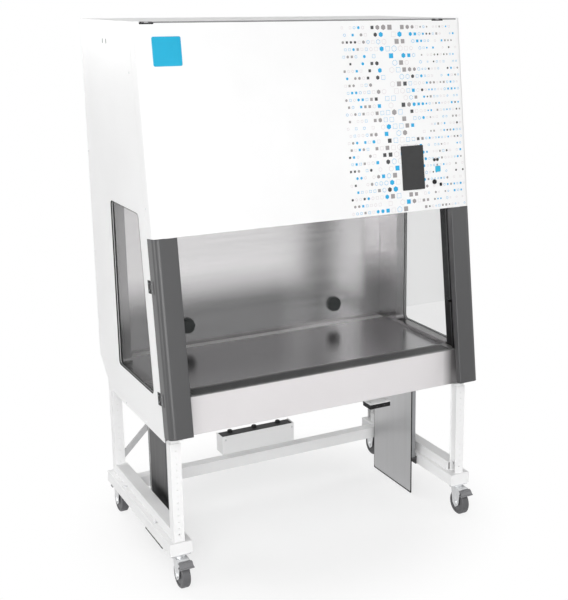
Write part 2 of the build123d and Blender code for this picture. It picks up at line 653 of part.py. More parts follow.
# Hinge lines of the pillars run up the slope, in the seam between pillar and side panel.
PILLAR_AXIS_X = HALF_W + PILLAR_HINGE_T / 3
PILLAR_AXIS_D = RETURN + SEAM / 2
NOTCH_R = PILLAR_KNUCKLE_R + HINGE_GAP

# Side panels with the window openings.
with BuildPart() as side_panels:
    with BuildSketch(side_plane(SIDE_IN_X)):
        with BuildLine():
            Polyline((front_y(BODY_BOTTOM_Z, SIDE_FRONT), BODY_BOTTOM_Z), (CHAMFER_Y, BODY_BOTTOM_Z),
                     (BACK_Y, CHAMFER_Z), (BACK_Y, TOP_Z), (front_y(TOP_Z, SIDE_FRONT), TOP_Z),
                     close=True)
        make_face()
    extrude(amount=SHEET)
    extrude(window_face(SIDE_IN_X), amount=SHEET, mode=Mode.SUBTRACT)
    for z in PILLAR_HINGE_Z:
        with BuildSketch(section_plane(z), mode=Mode.PRIVATE) as notch:
            with Locations((PILLAR_AXIS_X, PILLAR_AXIS_D)):
                Circle(NOTCH_R)
        extrude(notch.sketch, amount=PILLAR_HINGE_H / 2 + HINGE_GAP, both=True, mode=Mode.SUBTRACT)
    mirror(about=Plane.YZ)
save(side_panels, "side_panels")

with BuildPart() as back_panel:
    block(-SIDE_IN_X, SIDE_IN_X, BACK_Y - SHEET, BACK_Y, CHAMFER_Z + SHEET, TOP_Z - SHEET)
save(back_panel, "back_panel")

# Top panel with the exhaust air slots.
EXHAUST_PITCH = EXHAUST_W / EXHAUST_SLOTS
TOP_FRONT_Y = FRONT_TOP_Y + 2 * KNUCKLE_R + 2 * SEAM
TOP_STEP_Y = front_y(TOP_Z, SIDE_FRONT)
TOP_NARROW_X = SIDE_IN_X - SLIDE_CLEAR
with BuildPart() as top_panel:
    block(-SIDE_IN_X, SIDE_IN_X, TOP_STEP_Y, BACK_Y, TOP_Z - SHEET, TOP_Z)
    with BuildSketch(Plane.XY.offset(TOP_Z - SHEET)):
        with BuildLine():
            Polyline((-TOP_NARROW_X, TOP_STEP_Y), (TOP_NARROW_X, TOP_STEP_Y),
                     (TOP_NARROW_X, FRONT_TOP_Y + CORNER_R), (HALF_W - CORNER_R, TOP_FRONT_Y),
                     (CORNER_R - HALF_W, TOP_FRONT_Y), (-TOP_NARROW_X, FRONT_TOP_Y + CORNER_R),
                     close=True)
        make_face()
    extrude(amount=SHEET)
    block(CORNER_R - HALF_W, HALF_W - CORNER_R, TOP_FRONT_Y, TOP_FRONT_Y + SHEET,
          TOP_Z - FASCIA_LIP, TOP_Z)
    with Locations((0, EXHAUST_Y, TOP_Z - SHEET / 2)):
        with GridLocations(EXHAUST_PITCH, 0, EXHAUST_SLOTS, 1):
            Box(EXHAUST_SLOT_W, EXHAUST_D - 2 * FILTER_EDGE, SHEET, mode=Mode.SUBTRACT)
save(top_panel, "top_panel")

# Bottom pan: floor of the air plenum below the worktop, with the sloping rear corner.
with BuildPart() as bottom_pan:
    with BuildSketch(side_plane(-SIDE_IN_X)):
        with BuildLine():
            Polyline((GRILLE_FRONT_Y + SHEET, BODY_BOTTOM_Z), (CHAMFER_Y, BODY_BOTTOM_Z),
                     (BACK_Y, CHAMFER_Z), (BACK_Y - SHEET, CHAMFER_Z + SHEET),
                     (CHAMFER_Y - SHEET, BODY_BOTTOM_Z + SHEET),
                     (GRILLE_FRONT_Y + SHEET, BODY_BOTTOM_Z + SHEET), close=True)
        make_face()
    extrude(amount=2 * SIDE_IN_X)
save(bottom_pan, "bottom_pan")

# Apron: folded front sheet below the air grille.
with BuildPart() as apron:
    block(-SIDE_IN_X, SIDE_IN_X, GRILLE_FRONT_Y, GRILLE_FRONT_Y + SHEET, BODY_BOTTOM_Z,
          GRILLE_Z - GRILLE_SHEET)
    block(-CHAMBER_HALF_W, CHAMBER_HALF_W, GRILLE_FRONT_Y + SHEET,
          GRILLE_FRONT_Y + SHEET + RAIL_W, GRILLE_Z - GRILLE_SHEET - SHEET, GRILLE_Z - GRILLE_SHEET)
save(apron, "apron")

# ================================================================ WORK CHAMBER
LINER_BOTTOM_Z = BODY_BOTTOM_Z + SHEET
LINER_REAR_Z = (BODY_BOTTOM_Z + 2 * SHEET
                + (CHAMBER_BACK_Y + LINER - CHAMFER_Y) * REAR_CHAMFER_Z / REAR_CHAMFER_Y)
LINER_FRONT = SASH_SETBACK - RAIL_D
GLASS_IN_X = SIDE_IN_X - GLASS - SEAL_T

RAIL_IN_X = CHAMBER_HALF_W - RAIL_W

# Liner: back wall and two side walls; each window opening has a jamb out to its glass.
with BuildPart() as chamber_liner:
    block(-CHAMBER_HALF_W - LINER, CHAMBER_HALF_W + LINER, CHAMBER_BACK_Y, CHAMBER_BACK_Y + LINER,
          LINER_REAR_Z, CHAMBER_TOP_Z)
    with BuildSketch(side_plane(CHAMBER_HALF_W)):
        with BuildLine():
            Polyline((GRILLE_FRONT_Y + SHEET, LINER_BOTTOM_Z), (CHAMFER_Y - SHEET, LINER_BOTTOM_Z),
                     (CHAMBER_BACK_Y, LINER_REAR_Z), (CHAMBER_BACK_Y, CHAMBER_TOP_Z),
                     (front_y(CHAMBER_TOP_Z, LINER_FRONT), CHAMBER_TOP_Z),
                     (front_y(GRILLE_Z, LINER_FRONT), GRILLE_Z), (GRILLE_FRONT_Y + SHEET, GRILLE_Z),
                     close=True)
        make_face()
    extrude(amount=LINER)
    extrude(window_face(CHAMBER_HALF_W, LINER), amount=GLASS_IN_X - CHAMBER_HALF_W)
    extrude(window_face(CHAMBER_HALF_W), amount=GLASS_IN_X - CHAMBER_HALF_W, mode=Mode.SUBTRACT)
    mirror(about=Plane.YZ)
save(chamber_liner, "chamber_liner")

with BuildPart() as side_windows:
    extrude(window_face(GLASS_IN_X, GLASS_LAP), amount=GLASS)
    mirror(about=Plane.YZ)
save(side_windows, "side_windows")

# Window seals: bedded between glass and panel, with a lip in the opening.
with BuildPart() as window_seals:
    extrude(window_face(GLASS_IN_X + GLASS, GLASS_LAP), amount=SEAL_T)
    extrude(window_face(GLASS_IN_X + GLASS), amount=SEAL_T + SHEET + SEAL_PROUD)
    extrude(window_face(GLASS_IN_X + GLASS, -SEAL_W), amount=SEAL_T + SHEET + SEAL_PROUD,
            mode=Mode.SUBTRACT)
    mirror(about=Plane.YZ)
save(window_seals, "window_seals")


# Air grilles: slotted front grille in front of the worktop, narrow rear strip behind it.
SLOTS = int(2 * (RAIL_IN_X - GRILLE_SLOT_PITCH) / GRILLE_SLOT_PITCH)
GRILLE_REAR_Y = GRILLE_FRONT_Y + GRILLE_D
GRILLE_HALF_W = CHAMBER_HALF_W - SLIDE_CLEAR
REAR_GRILLE_Y = CHAMBER_BACK_Y - SLIDE_CLEAR - REAR_GRILLE_D
with BuildPart() as air_grilles:
    block(-GRILLE_HALF_W, GRILLE_HALF_W, GRILLE_FRONT_Y, GRILLE_REAR_Y, GRILLE_Z - GRILLE_SHEET,
          GRILLE_Z)
    block(-GRILLE_HALF_W, GRILLE_HALF_W, GRILLE_REAR_Y - GRILLE_SHEET, GRILLE_REAR_Y,
          WORKTOP_Z - WORKTOP_RIM - WORKTOP_SHEET, GRILLE_Z)
    block(-GRILLE_HALF_W, GRILLE_HALF_W, GRILLE_REAR_Y, GRILLE_REAR_Y + RAIL_W,
          WORKTOP_Z - WORKTOP_RIM - WORKTOP_SHEET, WORKTOP_Z - WORKTOP_RIM)
    with Locations((0, GRILLE_FRONT_Y + GRILLE_SLOT_BACK, GRILLE_Z - GRILLE_SHEET / 2)):
        with GridLocations(GRILLE_SLOT_PITCH, 0, SLOTS, 1):
            Box(GRILLE_SLOT_W, GRILLE_SLOT_L, GRILLE_SHEET, mode=Mode.SUBTRACT)
    block(-GRILLE_HALF_W, GRILLE_HALF_W, REAR_GRILLE_Y, CHAMBER_BACK_Y - SLIDE_CLEAR,
          WORKTOP_Z - GRILLE_SHEET, WORKTOP_Z)
    block(-GRILLE_HALF_W, GRILLE_HALF_W, REAR_GRILLE_Y, REAR_GRILLE_Y + GRILLE_SHEET,
          WORKTOP_Z - WORKTOP_RIM - WORKTOP_SHEET, WORKTOP_Z)
    block(-GRILLE_HALF_W, GRILLE_HALF_W, REAR_GRILLE_Y - RAIL_W, REAR_GRILLE_Y,
          WORKTOP_Z - WORKTOP_RIM - WORKTOP_SHEET, WORKTOP_Z - WORKTOP_RIM)
save(air_grilles, "air_grilles")

# Worktop: lift-out stainless tray resting on the ledges of the two grilles.
TOP_X = CHAMBER_HALF_W - 2 * SLIDE_CLEAR
TOP_Y0 = GRILLE_REAR_Y + SLIDE_CLEAR
TOP_Y1 = REAR_GRILLE_Y - SLIDE_CLEAR
with BuildPart() as worktop:
    block(-TOP_X, TOP_X, TOP_Y0, TOP_Y1, WORKTOP_Z - WORKTOP_RIM, WORKTOP_Z)
    fillet(worktop.edges().filter_by(Axis.Z), WORKTOP_SHEET)
    block(-TOP_X + WORKTOP_SHEET, TOP_X - WORKTOP_SHEET, TOP_Y0 + WORKTOP_SHEET,
          TOP_Y1 - WORKTOP_SHEET, WORKTOP_Z - WORKTOP_RIM, WORKTOP_Z - WORKTOP_SHEET,
          Mode.SUBTRACT)
save(worktop, "worktop")

# Sash rails: channels at both ends of the glass, standing on the air grille.
RAIL_CUT = RAIL_D * SIN         # rail foot is cut level, below the square end of its profile
SASH_HALF_W = CHAMBER_HALF_W - RAIL_WALL - SLIDE_CLEAR
RAIL_SLOT = GLASS + 2 * SLIDE_CLEAR
with BuildPart() as sash_rails:
    with BuildSketch(section_plane(GRILLE_Z - RAIL_CUT, SASH_SETBACK)):
        with Locations((CHAMBER_HALF_W - RAIL_W / 2, 0)):
            Rectangle(RAIL_W, RAIL_D)
        with Locations((CHAMBER_HALF_W - RAIL_WALL - RAIL_W / 2, 0)):
            Rectangle(RAIL_W, RAIL_SLOT, mode=Mode.SUBTRACT)
    extrude(amount=(RAIL_TOP_Z - GRILLE_Z + RAIL_CUT) / COS)
    split(bisect_by=Plane.XY.offset(GRILLE_Z), keep=Keep.TOP)
    mirror(about=Plane.YZ)
save(sash_rails, "sash_rails")

with BuildPart() as sash_glass:
    with BuildSketch(slope_plane(SASH_BOTTOM_Z, SASH_SETBACK)):
        with Locations((0, SASH_L / 2 + SHOE_H / 2)):
            Rectangle(2 * SASH_HALF_W, SASH_L - SHOE_H)
    extrude(amount=GLASS / 2, both=True)
save(sash_glass, "sash_glass")

with BuildPart() as sash_shoes:
    with BuildSketch(slope_plane(SASH_BOTTOM_Z, SASH_SETBACK)):
        with Locations((RAIL_IN_X - SLIDE_CLEAR - SHOE_W / 2, SHOE_H / 2)):
            Rectangle(SHOE_W, SHOE_H)
    extrude(amount=RAIL_SLOT / 2 + SLIDE_CLEAR, both=True)
    mirror(about=Plane.YZ)
save(sash_shoes, "sash_shoes")

# Service sockets on the back wall, each with a hinged lid.
SOCKET_FRONT_Y = CHAMBER_BACK_Y - SOCKET_D
with BuildPart() as socket_bodies:
    for x in SOCKET_X:
        block(x - SOCKET_W / 2, x + SOCKET_W / 2, SOCKET_FRONT_Y, CHAMBER_BACK_Y,
              SOCKET_Z - SOCKET_H / 2, SOCKET_Z + SOCKET_H / 2)
    fillet(socket_bodies.edges().filter_by(Axis.Y), SOCKET_R)
    for x in SOCKET_X:
        with BuildSketch(side_plane(x)):
            with Locations((SOCKET_FRONT_Y - KNUCKLE_R, SOCKET_Z + SOCKET_H / 2 - KNUCKLE_R)):
                Circle(PIN_R)
        extrude(amount=SOCKET_LUG_X, both=True)
        for end in (-1, 1):
            block(*sorted((x + end * SOCKET_LUG_X, x + end * (SOCKET_LUG_X - KNUCKLE_R))),
                  SOCKET_FRONT_Y - 2 * KNUCKLE_R, SOCKET_FRONT_Y,
                  SOCKET_Z + SOCKET_H / 2 - 2 * KNUCKLE_R, SOCKET_Z + SOCKET_H / 2)
save(socket_bodies, "socket_bodies")

for side_name, x in zip(("left", "right"), SOCKET_X):
    with BuildPart() as socket_lid:
        with BuildSketch(Plane.XZ.offset(-SOCKET_FRONT_Y + RACE_GAP)):
            with Locations((x, SOCKET_Z - KNUCKLE_R)):
                RectangleRounded(SOCKET_W - KNUCKLE_R, SOCKET_H - 4 * KNUCKLE_R, LID_R)
        extrude(amount=SOCKET_LID)
        chamfer(socket_lid.faces().sort_by(Axis.Y)[0].edges(), SHEET)
        block(x - SOCKET_LUG_X + KNUCKLE_R + RACE_GAP, x + SOCKET_LUG_X - KNUCKLE_R - RACE_GAP,
              SOCKET_FRONT_Y - 2 * KNUCKLE_R + SEAM, SOCKET_FRONT_Y - SEAM,
              SOCKET_Z + SOCKET_H / 2 - 4 * KNUCKLE_R, SOCKET_Z + SOCKET_H / 2 - KNUCKLE_R)
        with BuildSketch(side_plane(x)):
            with Locations((SOCKET_FRONT_Y - KNUCKLE_R, SOCKET_Z + SOCKET_H / 2 - KNUCKLE_R)):
                Circle(KNUCKLE_R - RACE_GAP)
        extrude(amount=SOCKET_LUG_X - KNUCKLE_R - RACE_GAP, both=True)
        with BuildSketch(side_plane(x)):
            with Locations((SOCKET_FRONT_Y - KNUCKLE_R, SOCKET_Z + SOCKET_H / 2 - KNUCKLE_R)):
                Circle(PIN_R + PIVOT_CLEAR)
        extrude(amount=SOCKET_W, both=True, mode=Mode.SUBTRACT)
    save(socket_lid, f"socket_lid_{side_name}")

# ================================================================ AIR HANDLING
SHELF_FRONT_Y = front_y(CHAMBER_TOP_Z, SASH_SETBACK + RAIL_D)
FILTER_Z = CHAMBER_TOP_Z + SHELF
FILTER_TOP_Z = FILTER_Z + FILTER_H

# Filter shelf: closes the chamber's top and leaves an opening below the downflow filter.
with BuildPart() as filter_shelf:
    block(-SIDE_IN_X, SIDE_IN_X, SHELF_FRONT_Y, BACK_Y - SHEET, CHAMBER_TOP_Z, FILTER_Z)
    block(-CHAMBER_HALF_W + SHELF_LEDGE, CHAMBER_HALF_W - SHELF_LEDGE,
          SHELF_FRONT_Y + LAMP_D + SHELF_LEDGE, CHAMBER_BACK_Y - SHELF_LEDGE,
          CHAMBER_TOP_Z, FILTER_Z, Mode.SUBTRACT)
save(filter_shelf, "filter_shelf")

# Downflow filter on the shelf and exhaust filter under the top panel.
with BuildPart() as hepa_filters:
    block(-CHAMBER_HALF_W + FILTER_EDGE / 2, CHAMBER_HALF_W - FILTER_EDGE / 2,
          SHELF_FRONT_Y + LAMP_D + FILTER_EDGE / 2, CHAMBER_BACK_Y - FILTER_EDGE / 2,
          FILTER_Z, FILTER_TOP_Z)
    block(-EXHAUST_W / 2, EXHAUST_W / 2, EXHAUST_Y - EXHAUST_D / 2, EXHAUST_Y + EXHAUST_D / 2,
          TOP_Z - SHEET - EXHAUST_H, TOP_Z - SHEET)
    with Locations((0, (SHELF_FRONT_Y + LAMP_D + CHAMBER_BACK_Y) / 2, (FILTER_Z + FILTER_TOP_Z) / 2)):
        with GridLocations(PLEAT_PITCH, 0, int((2 * CHAMBER_HALF_W - 2 * FILTER_EDGE) / PLEAT_PITCH), 1):
            Box(PLEAT_GAP, CHAMBER_BACK_Y - SHELF_FRONT_Y - LAMP_D - 3 * FILTER_EDGE, FILTER_H,
                mode=Mode.SUBTRACT)
    with Locations((0, EXHAUST_Y, TOP_Z - SHEET - EXHAUST_H / 2)):
        with GridLocations(PLEAT_PITCH, 0, int((EXHAUST_W - 2 * FILTER_EDGE) / PLEAT_PITCH), 1):
            Box(PLEAT_GAP, EXHAUST_D - 2 * FILTER_EDGE, EXHAUST_H, mode=Mode.SUBTRACT)
save(hepa_filters, "hepa_filters")

# Fan housing: a drum on the downflow filter, with its inlet on top and the motor on three arms.
HOUSING_R = FAN_R + 4 * FAN_CLEAR
HOUSING_TOP_Z = FILTER_TOP_Z + FAN_HOUSING_H
WHEEL_Z = HOUSING_TOP_Z - SHELF - FAN_CLEAR - FAN_H
MOTOR_Z = HOUSING_TOP_Z + MOTOR_LIFT
SHAFT_END_Z = WHEEL_Z + FAN_BLADE_T + HINGE_GAP
with BuildPart() as fan_housing:
    with Locations((0, FAN_Y, (FILTER_TOP_Z + HOUSING_TOP_Z) / 2)):
        Cylinder(HOUSING_R, FAN_HOUSING_H)
        Cylinder(FAN_INLET_R, FAN_HOUSING_H, mode=Mode.SUBTRACT)
    with Locations((0, FAN_Y, (FILTER_TOP_Z + HOUSING_TOP_Z) / 2 - SHELF)):
        Cylinder(HOUSING_R - SHELF, FAN_HOUSING_H, mode=Mode.SUBTRACT)
    with Locations((0, FAN_Y, MOTOR_Z + MOTOR_H / 2)):
        Cylinder(MOTOR_R, MOTOR_H)
    with Locations((0, FAN_Y, (SHAFT_END_Z + MOTOR_Z) / 2)):
        Cylinder(MOTOR_SHAFT_R, MOTOR_Z - SHAFT_END_Z)
    with BuildSketch(Plane.XY.offset(HOUSING_TOP_Z)):
        with Locations((0, FAN_Y)):
            with PolarLocations((MOTOR_R + HOUSING_R) / 2 - SHELF, MOTOR_ARMS, 90):
                Rectangle(HOUSING_R - MOTOR_R, MOTOR_ARM_W)
            Circle(MOTOR_R)
            Circle(FAN_HUB_R, mode=Mode.SUBTRACT)
    extrude(amount=MOTOR_Z - HOUSING_TOP_Z)
save(fan_housing, "fan_housing")

# Fan wheel: back plate with hub, backward-curved blades and an inlet ring.
with BuildPart() as fan_wheel:
    with Locations((0, FAN_Y, WHEEL_Z + FAN_BLADE_T / 2)):
        Cylinder(FAN_R, FAN_BLADE_T)
    with Locations((0, FAN_Y, WHEEL_Z + FAN_H / 4)):
        Cylinder(FAN_HUB_R, FAN_H / 2)
    with BuildSketch(Plane.XY.offset(WHEEL_Z)):
        with Locations((0, FAN_Y)):
            with PolarLocations(FAN_BLADE_R, FAN_BLADES):
                Rectangle(FAN_BLADE_L, FAN_BLADE_T, rotation=FAN_BLADE_ANGLE)
    extrude(amount=FAN_H)
    with BuildSketch(Plane.XY.offset(WHEEL_Z + FAN_H - FAN_BLADE_T)):
        with Locations((0, FAN_Y)):
            Circle(FAN_R)
            Circle(FAN_INLET_R, mode=Mode.SUBTRACT)
    extrude(amount=FAN_BLADE_T)
    with Locations((0, FAN_Y, WHEEL_Z + FAN_H / 4 + FAN_BLADE_T)):
        Cylinder(MOTOR_SHAFT_R + PIVOT_CLEAR, FAN_H / 2, mode=Mode.SUBTRACT)
save(fan_wheel, "fan_wheel")

# Chamber lamp under the front of the shelf.
with BuildPart() as chamber_lamp:
    block(-LAMP_L / 2, LAMP_L / 2, SHELF_FRONT_Y, SHELF_FRONT_Y + LAMP_D,
          CHAMBER_TOP_Z - LAMP_H, CHAMBER_TOP_Z)
    fillet(chamber_lamp.faces().sort_by(Axis.Z)[0].edges().filter_by(Axis.X), LAMP_R)
save(chamber_lamp, "chamber_lamp")

# ================================================================ HINGED FRONT COVER
HINGE_Y = FRONT_TOP_Y + KNUCKLE_R
HINGE_Z = TOP_Z - KNUCKLE_R
THIRD = FASCIA_HINGE_W / 3
FASCIA_L = (TOP_Z - FASCIA_BOTTOM_Z + RETURN) / COS
NOTCH_H = 2 * KNUCKLE_R + SHEET

with BuildPart() as fascia:
    extrude(wrap_face(FASCIA_BOTTOM_Z, -HALF_W, HALF_W, RETURN, CORNER_R), amount=FASCIA_L)
    split(bisect_by=Plane.XY.offset(TOP_Z), keep=Keep.BOTTOM)
    with BuildSketch(section_plane(FASCIA_BOTTOM_Z)):
        with Locations((0, FASCIA_LIP / 2 + SHEET)):
            Rectangle(BODY_W - 2 * CORNER_R, FASCIA_LIP)
    extrude(amount=SHEET)
    for x in FASCIA_HINGE_X:
        block(x - FASCIA_HINGE_W / 2 - HINGE_GAP, x + FASCIA_HINGE_W / 2 + HINGE_GAP,
              FRONT_TOP_Y - RETURN, FRONT_TOP_Y + RETURN / 2, TOP_Z - NOTCH_H, TOP_Z,
              Mode.SUBTRACT)
        block(x - THIRD / 2 + HINGE_GAP, x + THIRD / 2 - HINGE_GAP, front_y(TOP_Z - NOTCH_H),
              HINGE_Y, TOP_Z - NOTCH_H - SHEET, HINGE_Z)
        with BuildSketch(side_plane(x)):
            with Locations((HINGE_Y, HINGE_Z)):
                Circle(KNUCKLE_R)
        extrude(amount=THIRD / 2 - HINGE_GAP, both=True)
        with BuildSketch(side_plane(x)):
            with Locations((HINGE_Y, HINGE_Z)):
                Circle(PIN_R + PIVOT_CLEAR)
        extrude(amount=THIRD / 2, both=True, mode=Mode.SUBTRACT)
    with BuildSketch(slope_plane(POWER_Z)):
        with Locations((POWER_X, 0)):
            Circle(POWER_R + HINGE_GAP)
    extrude(amount=-SHEET, mode=Mode.SUBTRACT)
    with BuildSketch(slope_plane(TOUCH_Z)):
        with Locations((TOUCH_X, 0)):
            RectangleRounded(TOUCH_W + 2 * HINGE_GAP, TOUCH_W + 2 * HINGE_GAP, KNUCKLE_R)
    extrude(amount=-SHEET, mode=Mode.SUBTRACT)
save(fascia, "fascia")

with BuildPart() as fascia_hinges:
    for x in FASCIA_HINGE_X:
        with BuildSketch(side_plane(x)):
            with Locations((HINGE_Y, HINGE_Z)):
                Circle(PIN_R)
        extrude(amount=FASCIA_HINGE_W / 2, both=True)
        block(x - FASCIA_HINGE_W / 2, x + FASCIA_HINGE_W / 2, TOP_FRONT_Y - SHEET, TOP_FRONT_Y,
              TOP_Z - FASCIA_LIP / 2, TOP_Z)
        for end in (-1, 1):
            with BuildSketch(side_plane(x + end * THIRD)):
                with Locations((HINGE_Y, HINGE_Z)):
                    Circle(KNUCKLE_R)
            extrude(amount=THIRD / 2, both=True)
            block(x + end * THIRD - THIRD / 2, x + end * THIRD + THIRD / 2, HINGE_Y,
                  TOP_FRONT_Y, TOP_Z - SHEET, TOP_Z)
save(fascia_hinges, "fascia_hinges")

# Display with the two round ports beside it.
with BuildPart() as display_panel:
    with BuildSketch(slope_plane(SCREEN_MID_Z)):
        with Locations((SCREEN_X, 0)):
            RectangleRounded(SCREEN_W, SCREEN_L, SCREEN_PROUD)
    extrude(amount=SCREEN_PROUD)
    with BuildSketch(slope_plane(PORT_Z)):
        with Locations(*[(x, 0) for x in PORT_X]):
            Circle(PORT_R)
    extrude(amount=SHEET)
save(display_panel, "display_panel")

with BuildPart() as power_button:
    with BuildSketch(slope_plane(POWER_Z)):
        with Locations((POWER_X, 0)):
            Circle(POWER_R)
    extrude(amount=BUTTON_PROUD)
    chamfer(power_button.faces().sort_by(Axis.Y)[0].edges(), SEAM / 2)
    with BuildSketch(slope_plane(POWER_Z)):
        with Locations((POWER_X, 0)):
            Circle(POWER_R)
    extrude(amount=-2 * BUTTON_PROUD)
save(power_button, "power_button")

with BuildPart() as touch_button:
    with BuildSketch(slope_plane(TOUCH_Z)):
        with Locations((TOUCH_X, 0)):
            RectangleRounded(TOUCH_W, TOUCH_W, KNUCKLE_R - HINGE_GAP)
    extrude(amount=BUTTON_PROUD)
    chamfer(touch_button.faces().sort_by(Axis.Y)[0].edges(), SEAM / 2)
    with BuildSketch(slope_plane(TOUCH_Z)):
        with Locations((TOUCH_X, 0)):
            RectangleRounded(TOUCH_W, TOUCH_W, KNUCKLE_R - HINGE_GAP)
    extrude(amount=-2 * BUTTON_PROUD)
save(touch_button, "touch_button")

# ================================================================ PILLARS
PILLAR_TOP_Z = FASCIA_BOTTOM_Z - SEAM
PILLAR_IN_X = HALF_W - PILLAR_W
HINGE_THIRD = PILLAR_HINGE_H / 3


def hinge_barrel(start, side, radius, length, both=False, mode=Mode.ADD):
    """Round bar or bore on a pillar's hinge line, running up the slope from a height."""
    with BuildSketch(section_plane(start), mode=Mode.PRIVATE) as circle:
        with Locations((side * PILLAR_AXIS_X, PILLAR_AXIS_D)):
            Circle(radius)
    extrude(circle.sketch, amount=length, both=both, mode=mode)


def hinge_half(z, side, direction, thirds):
    """Leaf on the casing before (-1) or behind (1) the hinge line, with its own knuckles."""
    near = PILLAR_AXIS_D + direction * NOTCH_R
    far = PILLAR_AXIS_D + direction * PILLAR_HINGE_LEAF
    with BuildSketch(section_plane(z), mode=Mode.PRIVATE) as leaf:
        with Locations((side * (HALF_W + PILLAR_HINGE_T / 2), (near + far) / 2)):
            Rectangle(PILLAR_HINGE_T, abs(far - near))
    extrude(leaf.sketch, amount=PILLAR_HINGE_H / 2, both=True)
    for index in thirds:
        start = z + ((index - 1.5) * HINGE_THIRD + HINGE_GAP) * COS
        with BuildSketch(section_plane(start), mode=Mode.PRIVATE) as knuckle:
            with Locations((side * PILLAR_AXIS_X, PILLAR_AXIS_D)):
                Circle(PILLAR_KNUCKLE_R)
            with Locations((side * (HALF_W + PILLAR_HINGE_T / 2), PILLAR_AXIS_D
                            + direction * NOTCH_R)):
                Rectangle(PILLAR_HINGE_T, NOTCH_R)
        extrude(knuckle.sketch, amount=HINGE_THIRD - 2 * HINGE_GAP)


def pillar_outline(side, inset, mode):
    """Outside of a pillar in a section sketch: large outer corner, small inner one."""
    depth = 2 * (RETURN - inset)
    inner_w = PILLAR_W / 2 - inset
    with Locations((side * (HALF_W - PILLAR_W / 2), RETURN)):
        RectangleRounded(PILLAR_W - 2 * inset, depth, CORNER_R - inset, mode=mode)
    with Locations((side * (PILLAR_IN_X + inset + inner_w / 2), RETURN)):
        RectangleRounded(inner_w, depth, PILLAR_INNER_R - inset, mode=mode)


def pillar(node, side):
    """Hinged front pillar: folded sheet with the moving halves of its two hinges."""
    with BuildPart() as post:
        with BuildSketch(section_plane(PILLAR_BOTTOM_Z)):
            pillar_outline(side, 0, Mode.ADD)
            pillar_outline(side, SHEET, Mode.SUBTRACT)
            with Locations((side * (HALF_W - PILLAR_W / 2), RETURN / 2)):
                Rectangle(PILLAR_W, RETURN, mode=Mode.INTERSECT)
            with Locations((side * (HALF_W - SHEET - PILLAR_W / 2), PILLAR_FLANGE + RETURN / 2)):
                Rectangle(PILLAR_W, RETURN, mode=Mode.SUBTRACT)
        extrude(amount=(PILLAR_TOP_Z - PILLAR_BOTTOM_Z) / COS)
        for z in PILLAR_HINGE_Z:
            hinge_barrel(z, side, NOTCH_R, PILLAR_HINGE_H / 2 + HINGE_GAP, True, Mode.SUBTRACT)
            hinge_half(z, side, -1, (1,))
            hinge_barrel(z, side, PILLAR_PIN_R + PIVOT_CLEAR, HINGE_THIRD, True, Mode.SUBTRACT)
    save(post, node)


pillar("pillar_left", -1)
pillar("pillar_right", 1)

with BuildPart() as pillar_hinges:
    for side in (-1, 1):
        for z in PILLAR_HINGE_Z:
            hinge_half(z, side, 1, (0, 2))
            hinge_barrel(z, side, PILLAR_PIN_R, HINGE_THIRD, True)
save(pillar_hinges, "pillar_hinges")
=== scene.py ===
import math
import random

import bpy
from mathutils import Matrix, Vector


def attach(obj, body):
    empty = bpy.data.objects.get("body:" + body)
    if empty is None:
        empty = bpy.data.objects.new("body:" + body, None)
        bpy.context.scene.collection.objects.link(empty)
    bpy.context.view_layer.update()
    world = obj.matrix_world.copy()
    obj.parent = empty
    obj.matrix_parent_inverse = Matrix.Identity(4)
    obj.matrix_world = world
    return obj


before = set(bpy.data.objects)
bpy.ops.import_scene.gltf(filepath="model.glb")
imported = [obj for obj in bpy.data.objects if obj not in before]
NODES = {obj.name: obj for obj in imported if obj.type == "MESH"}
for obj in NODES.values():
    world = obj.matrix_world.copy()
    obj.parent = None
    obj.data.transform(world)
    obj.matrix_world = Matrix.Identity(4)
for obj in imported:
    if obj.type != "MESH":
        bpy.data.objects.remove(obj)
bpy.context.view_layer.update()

random.seed(11)

# ---------------------------------------------------------------- sizes of the part, metres
LEAN = math.radians(7.15)       # the front face leans back by this
TOP_Z = 2.015
FRONT_TOP_Y = -0.233            # upper edge of the leaning front face
FASCIA_LOW_Z = 1.295
SIDE_X = 0.650                  # outer face of a side panel
CORNERS = ("front_left", "front_right", "rear_left", "rear_right")

X = Vector((1, 0, 0))
Y = Vector((0, 1, 0))
Z = Vector((0, 0, 1))
SLOPE_UP = Vector((0, math.sin(LEAN), math.cos(LEAN)))
SLOPE_OUT = Vector((0, -math.cos(LEAN), math.sin(LEAN)))


def front(x, z, proud=0.0):
    """Point on the leaning front face, or proud of it."""
    return Vector((x, FRONT_TOP_Y - math.tan(LEAN) * (TOP_Z - z), z)) + SLOPE_OUT * proud


def box(name):
    """Lowest and highest corner of a CAD node at rest."""
    points = [NODES[name].matrix_world @ v.co for v in NODES[name].data.vertices]
    low = Vector([min(p[i] for p in points) for i in range(3)])
    high = Vector([max(p[i] for p in points) for i in range(3)])
    return low, high


# ---------------------------------------------------------------- camera
# Place, angles, lens and shift were solved from the straight edges in the photograph.
cam_data = bpy.data.cameras.new("camera")
cam_data.sensor_width = 36
cam_data.lens = 66.57
cam_data.shift_x = -0.1368
cam_data.shift_y = -0.0462
cam_data.clip_end = 60
cam_data.dof.use_dof = False
cam = bpy.data.objects.new("camera", cam_data)
cam.location = (-1.8349, -3.8759, 2.0930)
cam.rotation_euler = (math.radians(90 - 13.92), 0, math.radians(-29.56))
bpy.context.scene.collection.objects.link(cam)
bpy.context.scene.camera = cam


# ---------------------------------------------------------------- shader nodes
def put(tree, socket, value):
    """Link a socket to another one, or set its value."""
    if isinstance(value, bpy.types.NodeSocket):
        tree.links.new(value, socket)
    else:
        socket.default_value = value


def add_node(tree, kind, inputs=None, **props):
    """New node with its properties set, and its inputs set or linked."""
    node = tree.nodes.new(kind)
    for key, value in props.items():
        setattr(node, key, value)
    for key, value in (inputs or {}).items():
        put(tree, node.inputs[key], value)
    return node


